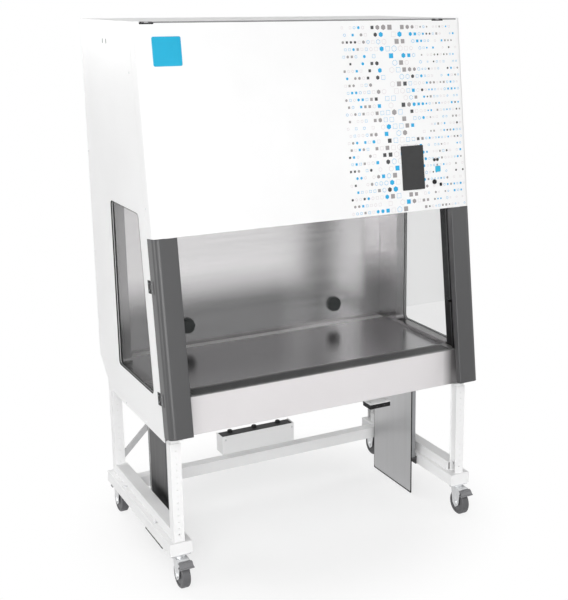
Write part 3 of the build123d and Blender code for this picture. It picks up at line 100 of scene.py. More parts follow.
def calc(tree, operation, *values):
    """Result of a sum on numbers or sockets."""
    node = add_node(tree, "ShaderNodeMath", operation=operation)
    for index, value in enumerate(values):
        put(tree, node.inputs[index], value)
    return node.outputs[0]


def ramp(tree, source, low, high, at=(0.3, 0.7)):
    """low and high where source is at the two marks, straight between them and held beyond."""
    marks = {"From Min": at[0], "From Max": at[1], "To Min": low, "To Max": high}
    return add_node(tree, "ShaderNodeMapRange", {"Value": source, **marks}).outputs["Result"]


def mix_colour(tree, factor, a, b, **props):
    inputs = {"Factor": factor, "A": a, "B": b}
    return add_node(tree, "ShaderNodeMix", inputs, data_type="RGBA", **props).outputs["Result"]


def mix_shader(tree, factor, a, b):
    return add_node(tree, "ShaderNodeMixShader", {0: factor, 1: a, 2: b}).outputs[0]


def add_noise(tree, scale, detail=3.0, stretch=(1, 1, 1)):
    """Noise that rides with its piece. A stretch below 1 draws it out along that axis."""
    place = add_node(tree, "ShaderNodeTexCoord").outputs["Object"]
    mapping = add_node(tree, "ShaderNodeMapping", {"Vector": place, "Scale": stretch})
    return add_node(tree, "ShaderNodeTexNoise", {
        "Vector": mapping.outputs["Vector"], "Scale": scale, "Detail": detail}).outputs["Fac"]


def seen_by_eye(tree):
    """1 for rays from the camera, through a pane or off a gloss, and 0 for scattered light."""
    rays = add_node(tree, "ShaderNodeLightPath").outputs
    direct = calc(tree, "MAXIMUM", rays["Is Camera Ray"], rays["Is Transmission Ray"])
    return calc(tree, "MAXIMUM", direct, rays["Is Glossy Ray"])


# ---------------------------------------------------------------- materials
EDGE_RADIUS = 0.0008            # folded sheet edges, rounded in the shading
BEVEL_SAMPLES = 4


def linear(value):
    """sRGB 0-255 to linear."""
    v = value / 255
    return v / 12.92 if v <= 0.04045 else ((v + 0.055) / 1.055) ** 2.4


def colour(r, g, b):
    return (linear(r), linear(g), linear(b), 1)


def new_material(name):
    mat = bpy.data.materials.new(name)
    mat.use_nodes = True
    return mat, mat.node_tree, surface(mat)


def surface(mat):
    """Inputs of a material's shader."""
    return mat.node_tree.nodes["Principled BSDF"].inputs


def vary_colour(tree, inputs, source, rgb, vary):
    """Base colour that wanders by vary to both sides of rgb."""
    low = colour(*[max(0, c - vary) for c in rgb])
    high = colour(*[min(255, c + vary) for c in rgb])
    put(tree, inputs["Base Color"], mix_colour(tree, ramp(tree, source, 0, 1), low, high))


def add_relief(tree, inputs, height, strength, distance):
    """Fine relief on top of the rounded edges."""
    rounded = add_node(tree, "ShaderNodeBevel", {"Radius": EDGE_RADIUS}, samples=BEVEL_SAMPLES)
    bump = add_node(tree, "ShaderNodeBump", {
        "Strength": strength, "Distance": distance, "Height": height,
        "Normal": rounded.outputs["Normal"]})
    put(tree, inputs["Normal"], bump.outputs["Normal"])


def painted(name, rgb, rough=0.42, peel=0.06, vary=3):
    """Powder coat: faint orange peel and a very slight variation of tone."""
    mat, tree, inputs = new_material(name)
    vary_colour(tree, inputs, add_noise(tree, 2.2), rgb, vary)
    fine = add_noise(tree, 900, 1.0)
    put(tree, inputs["Roughness"], ramp(tree, fine, rough - 0.05, rough + 0.05))
    add_relief(tree, inputs, fine, peel, 0.0004)
    return mat


def brushed(name, rgb, rough, grain=(1, 1, 0.03), streak=0.03, bump=0.05, vary=5):
    """Brushed metal: fine streaks drawn out along the grain."""
    mat, tree, inputs = new_material(name)
    inputs["Metallic"].default_value = 1.0
    lines = add_noise(tree, 60, 4.0, grain)
    cloud = add_noise(tree, 1.6, 2.0)
    vary_colour(tree, inputs, lines, rgb, vary)
    fine = ramp(tree, lines, rough - streak, rough + streak)
    put(tree, inputs["Roughness"], calc(tree, "ADD", fine, ramp(tree, cloud, -0.03, 0.03)))
    add_relief(tree, inputs, lines, bump, 0.0002)
    return mat


def plastic(name, rgb, rough=0.5, grain=700, bump=0.15, vary=4):
    """Moulded plastic, rubber or ink, with a fine spark-eroded grain."""
    mat, tree, inputs = new_material(name)
    vary_colour(tree, inputs, add_noise(tree, 14), rgb, vary)
    fine = add_noise(tree, grain, 2.0)
    put(tree, inputs["Roughness"], ramp(tree, fine, rough - 0.06, rough + 0.06))
    add_relief(tree, inputs, fine, bump, 0.0003)
    return mat


def glazing(name, rgb, alpha):
    """Clear pane: see-through, with a gloss that stays."""
    mat, tree, inputs = new_material(name)
    inputs["Base Color"].default_value = colour(*rgb)
    inputs["Alpha"].default_value = alpha
    put(tree, inputs["Roughness"], ramp(tree, add_noise(tree, 3.0), 0.02, 0.05))
    return mat


def two_faced(name, face_rgb, edge_rgb, rough):
    """Extruded column: dark broad faces towards the sides, bright narrow faces."""
    mat, tree, inputs = new_material(name)
    inputs["Metallic"].default_value = 0.7
    normal = add_node(tree, "ShaderNodeNewGeometry").outputs["True Normal"]
    axes = add_node(tree, "ShaderNodeSeparateXYZ", {"Vector": normal}).outputs
    sideways = ramp(tree, calc(tree, "ABSOLUTE", axes["X"]), 0, 1, (0.6, 0.9))
    put(tree, inputs["Base Color"], mix_colour(tree, sideways, colour(*edge_rgb),
                                               colour(*face_rgb)))
    lines = add_noise(tree, 60, 4.0, (1, 1, 0.02))
    put(tree, inputs["Roughness"], ramp(tree, lines, rough - 0.04, rough + 0.04))
    add_relief(tree, inputs, lines, 0.03, 0.0002)
    return mat


def shade_along(mat, axis, start, end, share, spared=None):
    """Darken a material from start to end along one axis of the part, to a share of its colour.

    Across the width both sides are alike. spared is the middle x and the half width of a band
    that keeps its own colour.
    """
    tree = mat.node_tree
    base = surface(mat)["Base Color"]
    place = add_node(tree, "ShaderNodeTexCoord").outputs["Object"]
    axes = add_node(tree, "ShaderNodeSeparateXYZ", {"Vector": place}).outputs
    along = calc(tree, "ABSOLUTE", axes["X"]) if axis == "X" else axes[axis]
    amount = ramp(tree, along, 0, 1, (start, end))
    if spared:
        middle, half_width = spared
        offset = calc(tree, "ABSOLUTE", calc(tree, "SUBTRACT", axes["X"], middle))
        outside = ramp(tree, offset, 0, 1, (half_width * 0.3, half_width))
        amount = calc(tree, "MULTIPLY", outside, amount)
    put(tree, base, mix_colour(tree, amount, base.links[0].from_socket, (share, share, share, 1),
                               blend_type="MULTIPLY"))


ACROSS = (0.05, 1, 1)           # grain of the steel in the chamber, along the width
WHITE = painted("white_powder_coat", (240, 240, 240))
APRON = painted("white_powder_coat_satin", (219, 216, 217), rough=0.24, peel=0.03)
STAND = painted("white_powder_coat_stand", (240, 240, 240), rough=0.45)
# The leg braces get the stand's white darkened to grey: painted shade.
SHADED = painted("leg_brace_painted_shade", (196, 196, 197), rough=0.5)
GREY = painted("grey_powder_coat", (69, 69, 70), rough=0.36, peel=0.05, vary=2)
# Grille paint lifted to a light grey: painted light on the rear grille, which lies in shade in the
# chamber; the front grille is darkened below.
GRILLE = painted("grille_grey", (236, 236, 236), rough=0.35, peel=0.02)
STEEL_BACK = brushed("steel_wall", (226, 224, 225), 0.25, ACROSS, streak=0.015, bump=0.004, vary=3)
STEEL_TOP = brushed("steel_worktop", (158, 158, 159), 0.22, ACROSS, streak=0.01, bump=0.002,
                    vary=2)
STEEL_COVER = brushed("steel_cover", (180, 180, 181), 0.30, streak=0.015, bump=0.005, vary=2)
ALU = brushed("aluminium", (150, 151, 153), 0.36)
ZINC = brushed("zinc", (210, 211, 212), 0.36, (1, 1, 1), streak=0.1, vary=12)
COLUMN = two_faced("column_anodised", (34, 34, 35), (150, 151, 153), 0.3)
BLACK = plastic("black_plastic", (15, 15, 16), rough=0.55)
BLACK_ALU = plastic("black_anodised", (30, 30, 31), rough=0.35, grain=900, bump=0.05)
CHARCOAL = plastic("charcoal_plastic", (13, 13, 14), rough=0.75)
RUBBER = plastic("rubber", (16, 16, 16), rough=0.7)
# Near-black for the air slot under the front grille: painted shade.
SLOT_SHADE = plastic("slot_painted_shade", (7, 7, 7), rough=0.9, vary=1)
SEAL = plastic("window_seal", (186, 187, 187), rough=0.6)
# Grey of the strip at the top seam: painted shade of the unlit top edge.
SEAM_SHADE_GREY = plastic("seam_painted_shade", (128, 128, 129), rough=0.6)
PEDAL = plastic("grey_pedal", (122, 122, 124), rough=0.3)
TYRE = plastic("grey_tread", (86, 86, 88))
SCREEN = plastic("screen_black", (22, 22, 23), grain=40, bump=0.0, vary=1)
LAMP = plastic("opal", (238, 238, 232), rough=0.4)
FILTER = plastic("filter_paper", (230, 229, 222), rough=0.85)
CYAN = plastic("cyan_enamel", (20, 168, 206), rough=0.35, grain=60, bump=0.0, vary=3)
GLASS = glazing("clear_glass", (128, 134, 133), 0.05)
SIDE_GLASS = glazing("side_glass", (90, 92, 92), 0.12)

for mat, gloss in ((CHARCOAL, 0.25), (BLACK, 0.25), (SLOT_SHADE, 0.0)):
    surface(mat)["Specular IOR Level"].default_value = gloss
surface(LAMP)["Emission Color"].default_value = (1, 1, 1, 1)
surface(LAMP)["Emission Strength"].default_value = 0.15

shade_along(STEEL_BACK, "X", 0.598, 0.600, 0.5)                         # painted shade on the two side walls
shade_along(STEEL_BACK, "Z", 1.01, 0.83, 0.5, spared=(0.33, 0.24))      # foot of the rear wall: painted reflection of the dark worktop, left out in a band
shade_along(APRON, "X", 0.532, 0.575, 0.22)                             # painted shade on the apron's ends beside the pillars
shade_along(GRILLE, "Y", -0.150, -0.160, 0.27)                          # painted shade on the front grille
shade_along(SEAL, "X", 0.6456, 0.6464, 0.01)                            # outer face of the seals

LOOKS = {
    "base_beams": STAND, "side_rails": STAND, "rear_cross_beam": STAND, "outer_posts": STAND,
    "inner_legs": STAND, "leg_braces": SHADED, "beam_pads": RUBBER, "column_lower": COLUMN,
    "column_upper": COLUMN, "column_feet": GREY, "control_box_cover": STAND,
    "control_box_body": BLACK, "caster_mounts": ZINC, "column_covers": STEEL_COVER,
    "cover_edging": BLACK, "handset_bracket": WHITE, "handset_body": BLACK, "handset_up": BLACK,
    "handset_down": BLACK, "side_panels": WHITE, "back_panel": WHITE, "top_panel": WHITE,
    "bottom_pan": WHITE, "apron": APRON, "chamber_liner": STEEL_BACK, "side_windows": SIDE_GLASS,
    "window_seals": SEAL, "air_grilles": GRILLE, "worktop": STEEL_TOP,
    "sash_rails": BLACK_ALU, "sash_glass": GLASS, "sash_shoes": BLACK, "socket_bodies": CHARCOAL,
    "socket_lid_left": CHARCOAL, "socket_lid_right": CHARCOAL, "filter_shelf": WHITE,
    "hepa_filters": FILTER, "fan_housing": ZINC, "fan_wheel": ALU, "chamber_lamp": LAMP,
    "fascia": WHITE, "fascia_hinges": BLACK, "display_panel": SCREEN, "power_button": BLACK,
    "touch_button": CYAN, "pillar_left": GREY, "pillar_right": GREY, "pillar_hinges": BLACK,
}
for corner in CORNERS:
    LOOKS["caster_fork_" + corner] = ZINC
    LOOKS["caster_wheel_" + corner] = TYRE
    LOOKS["brake_pedal_" + corner] = PEDAL
for name, node in NODES.items():
    for slot in node.material_slots:
        slot.material = LOOKS[name]


# ---------------------------------------------------------------- mesh helpers
def closed(rings, count):
    """Faces of a closed shape: rings of count points each, joined up and capped at both ends."""
    faces = [(row * count + k, row * count + (k + 1) % count,
              (row + 1) * count + (k + 1) % count, (row + 1) * count + k)
             for row in range(rings - 1) for k in range(count)]
    last = (rings - 1) * count
    return faces + [tuple(range(count - 1, -1, -1)), tuple(range(last, last + count))]


def turned(centre, axis, profile, steps):
    """Turned shape: profile is a list of (radius, height along the axis)."""
    axis = Vector(axis).normalized()
    side = axis.orthogonal().normalized()
    other = axis.cross(side)
    angles = [2 * math.pi * k / steps for k in range(steps)]
    verts = [Vector(centre) + axis * height
             + (side * math.cos(a) + other * math.sin(a)) * radius
             for radius, height in profile for a in angles]
    return verts, closed(len(profile), steps)


def screw(centre, axis, radius, head):
    """Button-head screw with a socket."""
    socket = radius * 0.45
    return turned(centre, axis, [
        (radius, 0.0), (radius, head * 0.35), (radius * 0.86, head * 0.8), (radius * 0.6, head),
        (socket, head), (socket * 0.9, head * 0.35), (socket * 0.2, head * 0.3)], 12)


def rounded_outline(width, height, radius, steps=6):
    points = []
    for cx, cy, start in ((1, 1, 0), (-1, 1, 90), (-1, -1, 180), (1, -1, 270)):
        for k in range(steps + 1):
            a = math.radians(start + 90 * k / steps)
            points.append((cx * (width / 2 - radius) + radius * math.cos(a),
                           cy * (height / 2 - radius) + radius * math.sin(a)))
    return points


def plate(centre, axes, width, height, radius, thick, edge):
    """Flat plate with rounded corners and a softened front edge.

    axes are the directions of its width, its height and its front.
    """
    across, up, out = axes
    verts = []
    for shrink, depth in ((0, 0), (0, thick - edge), (edge, thick)):
        outline = rounded_outline(width - 2 * shrink, height - 2 * shrink,
                                  max(radius - shrink, 0.0003))
        verts += [centre + across * u + up * v + out * depth for u, v in outline]
    return verts, closed(3, len(verts) // 3)


def joined(name, pieces, mat, body):
    """One object out of several (verts, faces) shapes, carried by a body of the frame."""
    verts = []
    faces = []
    for part_verts, part_faces in pieces:
        base = len(verts)
        verts.extend(tuple(v) for v in part_verts)
        faces.extend(tuple(base + i for i in face) for face in part_faces)
    mesh = bpy.data.meshes.new(name)
    mesh.from_pydata(verts, [], faces)
    mesh.validate()
    mesh.materials.append(mat)
    obj = bpy.data.objects.new(name, mesh)
    bpy.context.scene.collection.objects.link(obj)
    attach(obj, body)
    return obj


def smooth(obj, angle=40):
    """Smooth shading, split where faces meet more sharply than the angle."""
    for poly in obj.data.polygons:
        poly.use_smooth = True
    mod = obj.modifiers.new("smooth", "EDGE_SPLIT")
    mod.split_angle = math.radians(angle)


FRONT = (X, SLOPE_UP, SLOPE_OUT)    # width, height and outward directions on the front face

# ---------------------------------------------------------------- screws in the casing
SIDE_SCREWS = ((-0.153, 1.844), (0.401, 1.513), (-0.261, 1.391), (0.403, 1.112),
               (0.082, 0.576), (-0.151, 0.577))     # y, z
shapes = [screw((sign * SIDE_X, y, z), (sign, 0, 0), radius=0.0038, head=0.0014)
          for sign in (-1, 1) for y, z in SIDE_SCREWS]
smooth(joined("side_screws", shapes, ZINC, "cabinet"))

# The back panel has screws down both sides, and some along its upper and lower edge.
back_low, back_high = box("back_panel")
BACK_INSET = (0.016, 0.020)         # from the side and from the upper or lower edge
BACK_STEPS = 4
edge_x = back_high.x - BACK_INSET[0]
edge_z = (back_low.z + BACK_INSET[1], back_high.z - BACK_INSET[1])
places = []
for k in range(BACK_STEPS + 1):
    share = k / BACK_STEPS
    places += [(sign * edge_x, edge_z[0] + share * (edge_z[1] - edge_z[0])) for sign in (-1, 1)]
    if 0 < k < BACK_STEPS:
        places += [((share - 0.5) * 2 * edge_x, z) for z in edge_z]
shapes = [screw((x, back_high.y, z), Y, radius=0.0045, head=0.0016) for x, z in places]
smooth(joined("back_screws", shapes, ZINC, "cabinet"))

# Each pillar hinge has two screws in the fixed leaf and two in the moving one.
HINGE_X = 0.6517                    # outer face of the leaves
HINGE_Z = (1.127, 0.731)
HINGE_BACK = 0.06575                # pin, behind the front face
LEAF_SCREW = (0.0165, 0.012)        # from the pin, and from the middle of the leaf


def leaf_screws(sign, leaf):
    """Screws of one side's leaves: leaf is 1 for the fixed ones and -1 for the moving ones."""
    back = HINGE_BACK + leaf * LEAF_SCREW[0]
    return [screw(front(sign * HINGE_X, z) - SLOPE_OUT * back + SLOPE_UP * (step * LEAF_SCREW[1]),
                  (sign, 0, 0), radius=0.0028, head=0.0010) for z in HINGE_Z for step in (-1, 1)]


smooth(joined("hinge_screws", leaf_screws(-1, 1) + leaf_screws(1, 1), ALU, "cabinet"))
for sign, body in ((-1, "left_pillar"), (1, "right_pillar")):
    smooth(joined(body + "_hinge_screws", leaf_screws(sign, -1), ALU, body))

# ---------------------------------------------------------------- pattern on the front cover
INK_CYAN = plastic("ink_cyan", (22, 164, 216), rough=0.45, bump=0.0, vary=2)
INK_GREY = plastic("ink_grey", (150, 146, 146), rough=0.45, bump=0.0, vary=2)
INK_DARK = plastic("ink_charcoal", (58, 58, 60), rough=0.45, bump=0.0, vary=2)
INK_PALE = plastic("ink_pale", (206, 196, 200), rough=0.45, bump=0.0, vary=2)
PRINT_PROUD = 0.00012
PRINT_X = (0.116, 0.628)        # left and right end of the pattern
PRINT_LOW = 0.014               # lowest row, above the fascia's lower edge
PRINT_ROW = 0.0262              # pitch of the rows
PRINT_ROWS = 27
ROW_SHIFT = 0.009               # of every second row
SPACE = 0.0064                  # between motifs
FILL = 0.80                     # share of the places that hold a motif
LINE_W = 0.0013                 # width of an outlined motif's line
SIZE_LOW, SIZE_SWELL = 0.0052, 0.0056       # smallest size, and what the swell adds at its middle
SWELL_AT, SWELL_W = 0.40, 0.17              # middle and width of the swell, shares of the width
SPARSE_FROM = 0.66                          # share of the width beyond which motifs are small
SMALL_LOW, SMALL_VARY = 0.0034, 0.0016      # their smallest size, and how much more at random
SQUARE = (4, math.radians(45), 1.2)         # sides, turn, scale
HEXAGON = (6, math.radians(30), 1.05)
SQUARE_SHARE = 0.5
INKS = {                        # ink, share of the draws from and to, scale, line width
    "cyan": (INK_CYAN, 0.0, 0.16, 1, 0),
    "grey": (INK_GREY, 0.16, 0.34, 1, 0),
    "charcoal": (INK_DARK, 0.34, 0.42, 0.95, 0),
    "pale": (INK_PALE, 0.70, 1.0, 1, LINE_W),
    "cyan_line": (INK_CYAN, 0.42, 0.70, 1, LINE_W),
}


def motif(x, s, radius, sides, turn, line):
    """Polygon at x across and s up the slope from the fascia's lower edge.

    It is outlined if line gives a width, and filled otherwise.
    """
    centre = front(x, FASCIA_LOW_Z, PRINT_PROUD) + SLOPE_UP * s
    angles = [turn + 2 * math.pi * k / sides for k in range(sides)]
    verts = [centre + (X * math.cos(a) + SLOPE_UP * math.sin(a)) * r
             for r in ((radius, radius - line) if line else (radius,)) for a in angles]
    if not line:
        return verts, [tuple(range(sides))]
    return verts, [(k, (k + 1) % sides, sides + (k + 1) % sides, sides + k)
                   for k in range(sides)]


printed = {key: [] for key in INKS}
for row in range(PRINT_ROWS):
    s = PRINT_LOW + row * PRINT_ROW
    x = PRINT_X[0] + (row % 2) * ROW_SHIFT
    while x < PRINT_X[1]:
        t = (x - PRINT_X[0]) / (PRINT_X[1] - PRINT_X[0])
        size = SIZE_LOW + SIZE_SWELL * math.exp(-((t - SWELL_AT) / SWELL_W) ** 2)
        if t > SPARSE_FROM:
            size = SMALL_LOW + SMALL_VARY * random.random()
        x += size + SPACE
        if random.random() < FILL and x < PRINT_X[1]:
            sides, turn, widen = SQUARE if random.random() < SQUARE_SHARE else HEXAGON
            pick = random.random()
            for key, (ink, low, high, scale, line) in INKS.items():
                if low <= pick < high:
                    printed[key].append(motif(x, s, size * widen * scale, sides, turn, line))
        x += size
for key, shapes in printed.items():
    joined("print_" + key, shapes, INKS[key][0], "front_cover")

# ---------------------------------------------------------------- plaque, seam with painted shade, and small marks
SUNK = -0.0001                      # thin plates start just inside the sheet
plaque = plate(front(-0.5445, 1.9165), FRONT, width=0.1025, height=0.0985, radius=0.006,
               thick=0.0022, edge=0.0006)
smooth(joined("front_plaque", [plaque], CYAN, "front_cover"))

fascia_low, fascia_high = box("fascia")
# A grey strip along the top edge of the front marks the seam with the top panel; its grey is
# painted shade of the unlit top edge.
SEAM_H = 0.0048
SEAM_END = 0.023                    # from the fascia's end
seam = plate(front(0, TOP_Z - SEAM_H / 2 - 0.0004, SUNK), FRONT,
             width=fascia_high.x - fascia_low.x - 2 * SEAM_END, height=SEAM_H, radius=0.0004,
             thick=0.0003, edge=0.0001)
joined("top_seam_shade", [seam], SEAM_SHADE_GREY, "front_cover")

hinge_low, hinge_high = box("fascia_hinges")
HINGE_MIDDLE = 0.022                # middle of a top hinge, from its outer end
bars = [plate(front(x, TOP_Z - 0.0058, SUNK), FRONT, width=0.050, height=0.0056, radius=0.001,
              thick=0.0006, edge=0.0002)
        for x in (hinge_low.x + HINGE_MIDDLE, hinge_high.x - HINGE_MIDDLE)]
joined("top_hinge_bars", bars, BLACK, "front_cover")

screen_right = box("display_panel")[1].x
latch = plate(front(screen_right + 0.004, 1.389), FRONT, width=0.010, height=0.013,
              radius=0.003, thick=0.003, edge=0.0008)
smooth(joined("display_latch", [latch], BLACK, "front_cover"))

# The side slots are dark plates on the side panels: painted shade in the openings.
SLOT_Y = (0.136, 0.095)
SLOT_Z = 1.9415
slots = [plate(Vector((sign * SIDE_X, y, SLOT_Z)), (Y, Z, X * sign), width=0.0055, height=0.017,
               radius=0.0027, thick=0.0004, edge=0.0001) for sign in (-1, 1) for y in SLOT_Y]
joined("side_slots", slots, RUBBER, "cabinet")

# ---------------------------------------------------------------- work chamber details
worktop_low, worktop_high = box("worktop")
grille_low, grille_high = box("air_grilles")
# The holes of the rear grille are dark discs on it: painted shade in the holes.
HOLE_PITCH = 0.0095                 # along a row and between the rows
HOLE_R = 0.0021
HOLE_ROWS = 3
HOLE_BACK = 0.008                   # rearmost row, from the rear edge of the grille
holes = []
for row in range(HOLE_ROWS):
    y = grille_high.y - HOLE_BACK - row * HOLE_PITCH
    for k in range(int((worktop_high.x - worktop_low.x) / HOLE_PITCH)):
        x = worktop_low.x + HOLE_PITCH * (k + 0.5 + 0.5 * (row % 2))
        if x < worktop_high.x - HOLE_R:
            holes.append(turned((x, y, worktop_high.z), Z,
                                [(HOLE_R, 0.0), (HOLE_R * 0.9, 0.0002)], 8))
joined("rear_perforation", holes, CHARCOAL, "cabinet")

# Black trim between the sash rail and the side window, on the inside of each side wall.
TRIM_T = 0.0006
TRIM_X = box("chamber_liner")[1].x - 0.037 - 0.0002     # the wall's inner face, less a hair
TRIM_DEPTH = (0.086, 0.1385)        # front and rear edge, behind the front face
TRIM_Z = (grille_high.z + 0.001, 1.361)
for sign, side in ((-1, "left"), (1, "right")):
    verts = [front(x, z, -depth) for x in sorted((sign * TRIM_X, sign * (TRIM_X - TRIM_T)))
             for z, depth in ((TRIM_Z[0], TRIM_DEPTH[0]), (TRIM_Z[0], TRIM_DEPTH[1]),
                              (TRIM_Z[1], TRIM_DEPTH[1]), (TRIM_Z[1], TRIM_DEPTH[0]))]
    joined("side_trim_" + side, [(verts, closed(2, 4))], BLACK, "cabinet")

# Dark sheet in the air slot under the front grille: painted shade.
SLOT_SHADE_Y = (grille_low.y + 0.013, grille_low.y + 0.079)
SLOT_SHADE_END = 0.004                     # from the worktop's end
SLOT_SHADE_DOWN = 0.0035                   # under the top of the grille
slot_shade_plate = plate(Vector((0, sum(SLOT_SHADE_Y) / 2, grille_high.z - SLOT_SHADE_DOWN)), (X, Y, Z),
                  width=2 * (worktop_high.x - SLOT_SHADE_END), height=SLOT_SHADE_Y[1] - SLOT_SHADE_Y[0],
                  radius=0.002, thick=0.0008, edge=0.0002)
joined("grille_slot_shade", [slot_shade_plate], SLOT_SHADE, "cabinet")

# Scalloped grip round each socket lid.
GRIP_LOBES = 9
GRIP_STEPS = GRIP_LOBES * 8
GRIP_DEEP = 0.06                    # depth of the scallops, as a share of the radius
GRIP_TALL = 1.05                    # height over width
GRIP_RINGS = ((0.0285, 0.0005), (0.0285, 0.0055), (0.0265, 0.0075))    # radius, depth
for side in ("left", "right"):
    lid_low, lid_high = box("socket_lid_" + side)
    middle = (lid_low + lid_high) / 2
    verts = []
    for radius, depth in GRIP_RINGS:
        for k in range(GRIP_STEPS):
            a = 2 * math.pi * k / GRIP_STEPS
            r = radius * (1 + GRIP_DEEP * math.cos(GRIP_LOBES * a))
            verts.append(Vector((middle.x + r * math.cos(a), lid_high.y - depth,
                                 middle.z + GRIP_TALL * r * math.sin(a))))
    shape = (verts, closed(len(GRIP_RINGS), GRIP_STEPS))
    smooth(joined("lid_grip_" + side, [shape], CHARCOAL, "lid_" + side))

# ---------------------------------------------------------------- stand details
beam_high = box("base_beams")[1]
BOLT_X = beam_high.x - 0.0155
BOLT_Y = (0.2065, -0.1546)
BOLT = [(0.0085, 0), (0.0085, 0.0018), (0.0074, 0.003), (0.0035, 0.0034)]
bolts = [turned((sign * BOLT_X, y, beam_high.z), Z, BOLT, 20)
         for sign in (-1, 1) for y in BOLT_Y]
smooth(joined("beam_bolts", bolts, ZINC, "stand"))

# Curved hood over the tread of each brake pedal.
HOOD_HALF_W = 0.026
HOOD_T = 0.0024
HOOD_LINE = ((0.0612, 0.1135), (0.0665, 0.1138), (0.0725, 0.1120), (0.0775, 0.1080),
             (0.0812, 0.1025), (0.0835, 0.0960))    # distance from the kingpin, height
FORK_BACK = 0.027                   # kingpin, from the fork's trailing end
n = len(HOOD_LINE)
HOOD_FACES = [(0, 2 * n, 3 * n, n), (n - 1, 2 * n - 1, 4 * n - 1, 3 * n - 1)]
for k in range(n - 1):
    HOOD_FACES += [(k, k + 1, 2 * n + k + 1, 2 * n + k),
                   (n + k, 3 * n + k, 3 * n + k + 1, n + k + 1),
                   (k, n + k, n + k + 1, k + 1),
                   (2 * n + k, 2 * n + k + 1, 3 * n + k + 1, 3 * n + k)]
for corner in CORNERS:
    fork_low, fork_high = box("caster_fork_" + corner)
    middle_x = (fork_low.x + fork_high.x) / 2
    reach, kingpin_y = ((-1, fork_high.y - FORK_BACK) if corner.startswith("front")
                        else (1, fork_low.y + FORK_BACK))
    verts = [(middle_x + side * HOOD_HALF_W, kingpin_y + reach * (along - shift * 0.5), z - shift)
             for side in (-1, 1) for shift in (0.0, HOOD_T) for along, z in HOOD_LINE]
    smooth(joined("pedal_hood_" + corner, [(verts, HOOD_FACES)], PEDAL, "pedal_" + corner), 60)

cover_low, cover_high = box("control_box_cover")
fixings = [screw((x, cover_low.y, cover_high.z - 0.017), -Y, radius=0.0045, head=0.0018)
           for x in (cover_low.x + 0.016, cover_high.x - 0.010)]
smooth(joined("control_box_screws", fixings, ZINC, "stand"))

body_low, body_high = box("control_box_body")
GLAND = [(0.012, 0), (0.012, 0.004), (0.0105, 0.006), (0.0105, 0.009), (0.008, 0.011),
         (0.006, 0.0115)]
glands = [turned((body_low.x + share * (body_high.x - body_low.x), body_high.y - 0.014,
                  body_high.z - 0.001), Z, GLAND, 18) for share in (0.16, 0.5, 0.84)]
smooth(joined("control_box_glands", glands, BLACK, "stand"))

bracket_low, bracket_high = box("handset_bracket")
BRACKET_INSET = 0.012
fixings = [screw((x, bracket_low.y + 0.020, bracket_low.z + 0.002), Z, radius=0.004, head=0.0018)
           for x in (bracket_low.x + BRACKET_INSET, bracket_high.x - BRACKET_INSET)]
smooth(joined("handset_screws", fixings, ZINC, "cabinet"))


def arrow(node, way):
    """Raised arrow on a key of the hand control, up for 1 and down for -1."""
    low, high = box(node)
    centre = Vector(((low.x + high.x) / 2, low.y, (low.z + high.z) / 2))
    tip = Z * 0.0028 * way
    ring = [centre - X * 0.0034 - tip, centre + X * 0.0034 - tip, centre + tip]
    return ring + [p - Y * 0.0003 for p in ring], [(0, 1, 2), (5, 4, 3), (0, 3, 4, 1),
                                                   (1, 4, 5, 2), (2, 5, 3, 0)]


joined("key_arrow_up", [arrow("handset_up", 1)], INK_DARK, "up_key")
joined("key_arrow_down", [arrow("handset_down", -1)], INK_DARK, "down_key")

# ---------------------------------------------------------------- light
LIGHTS = (                          # name, place, target, size in m, power in W
    ("key", (-3.6, -5.2, 4.6), (0, 0, 1.0), 3.2, 172),
    ("side", (-6.0, -0.8, 1.1), (0, 0, 0.6), 2.6, 98),
    ("low", (-1.4, -5.4, 0.8), (0, 0.2, 0.3), 2.4, 136),
    ("fill", (4.6, -3.6, 2.6), (0, 0, 0.9), 3.4, 60),
    ("top", (0.3, -0.6, 5.4), (0, 0, 0.6), 4.0, 25),
    ("back", (-1.5, 4.8, 3.2), (0, 0, 1.0), 3.4, 120),
)
for name, place, target, size, power in LIGHTS:
    light = bpy.data.lights.new(name, "AREA")
    light.energy = power
    light.size = size
    lamp = bpy.data.objects.new(name, light)
    lamp.location = place
    lamp.rotation_euler = (Vector(target) - Vector(place)).to_track_quat("-Z", "Y").to_euler()
    bpy.context.scene.collection.objects.link(lamp)

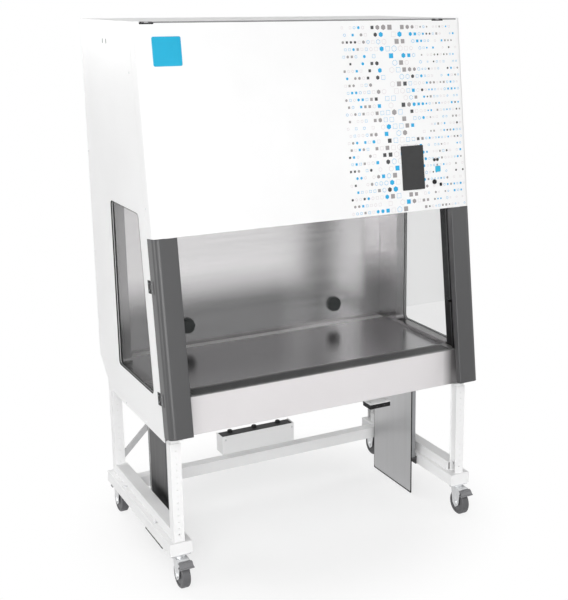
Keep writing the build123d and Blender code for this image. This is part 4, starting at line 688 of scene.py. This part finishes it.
# The background is white where it is seen, and only a dim ambient light otherwise.
AMBIENT = 0.15
world = bpy.data.worlds.new("studio")
world.use_nodes = True
bpy.context.scene.world = world
sky = world.node_tree
sky.nodes.clear()
ambient, backdrop = [add_node(sky, "ShaderNodeBackground", {
    "Color": (1, 1, 1, 1), "Strength": strength}).outputs[0] for strength in (AMBIENT, 1.0)]
add_node(sky, "ShaderNodeOutputWorld", {
    "Surface": mix_shader(sky, seen_by_eye(sky), ambient, backdrop)})

# ---------------------------------------------------------------- floor
FLOOR_HALF = 14
FLOOR_GREY = (0.46, 0.46, 0.46, 1)      # takes the shadow
FLOOR_GLOW = 0.56                       # lifts the grey to a pale floor
FLOOR_BOUNCE = (0.8, 0.8, 0.8, 1)       # what the floor throws back on the cabinet
FLOOR_FADE = (0.42, 0.95)               # distance at which plain white begins and is reached
corners = [(x * FLOOR_HALF, y * FLOOR_HALF, 0) for x, y in ((-1, -1), (1, -1), (1, 1), (-1, 1))]
floor_mesh = bpy.data.meshes.new("floor")
floor_mesh.from_pydata(corners, [], [(0, 1, 2, 3)])
floor = bpy.data.objects.new("floor", floor_mesh)
bpy.context.scene.collection.objects.link(floor)

# Near the cabinet the floor takes its shadow. Further out it fades to plain white.
floor_mat = bpy.data.materials.new("floor")
floor_mat.use_nodes = True
ground = floor_mat.node_tree
ground.nodes.clear()
shade = add_node(ground, "ShaderNodeBsdfDiffuse", {"Color": FLOOR_GREY}).outputs[0]
glow = add_node(ground, "ShaderNodeEmission", {"Strength": FLOOR_GLOW}).outputs[0]
near = add_node(ground, "ShaderNodeAddShader", {0: shade, 1: glow}).outputs[0]
far = add_node(ground, "ShaderNodeEmission", {"Strength": 1.0}).outputs[0]
bounce = add_node(ground, "ShaderNodeBsdfDiffuse", {"Color": FLOOR_BOUNCE}).outputs[0]
point = add_node(ground, "ShaderNodeNewGeometry").outputs["Position"]
reach = add_node(ground, "ShaderNodeVectorMath", {0: point}, operation="LENGTH").outputs["Value"]
fade = add_node(ground, "ShaderNodeMapRange", {
    "Value": reach, "From Min": FLOOR_FADE[0], "From Max": FLOOR_FADE[1]},
    interpolation_type="SMOOTHSTEP").outputs["Result"]
visible = mix_shader(ground, fade, near, far)
add_node(ground, "ShaderNodeOutputMaterial", {
    "Surface": mix_shader(ground, seen_by_eye(ground), bounce, visible)})
floor_mesh.materials.append(floor_mat)

bpy.context.scene.view_settings.view_transform = "Standard"
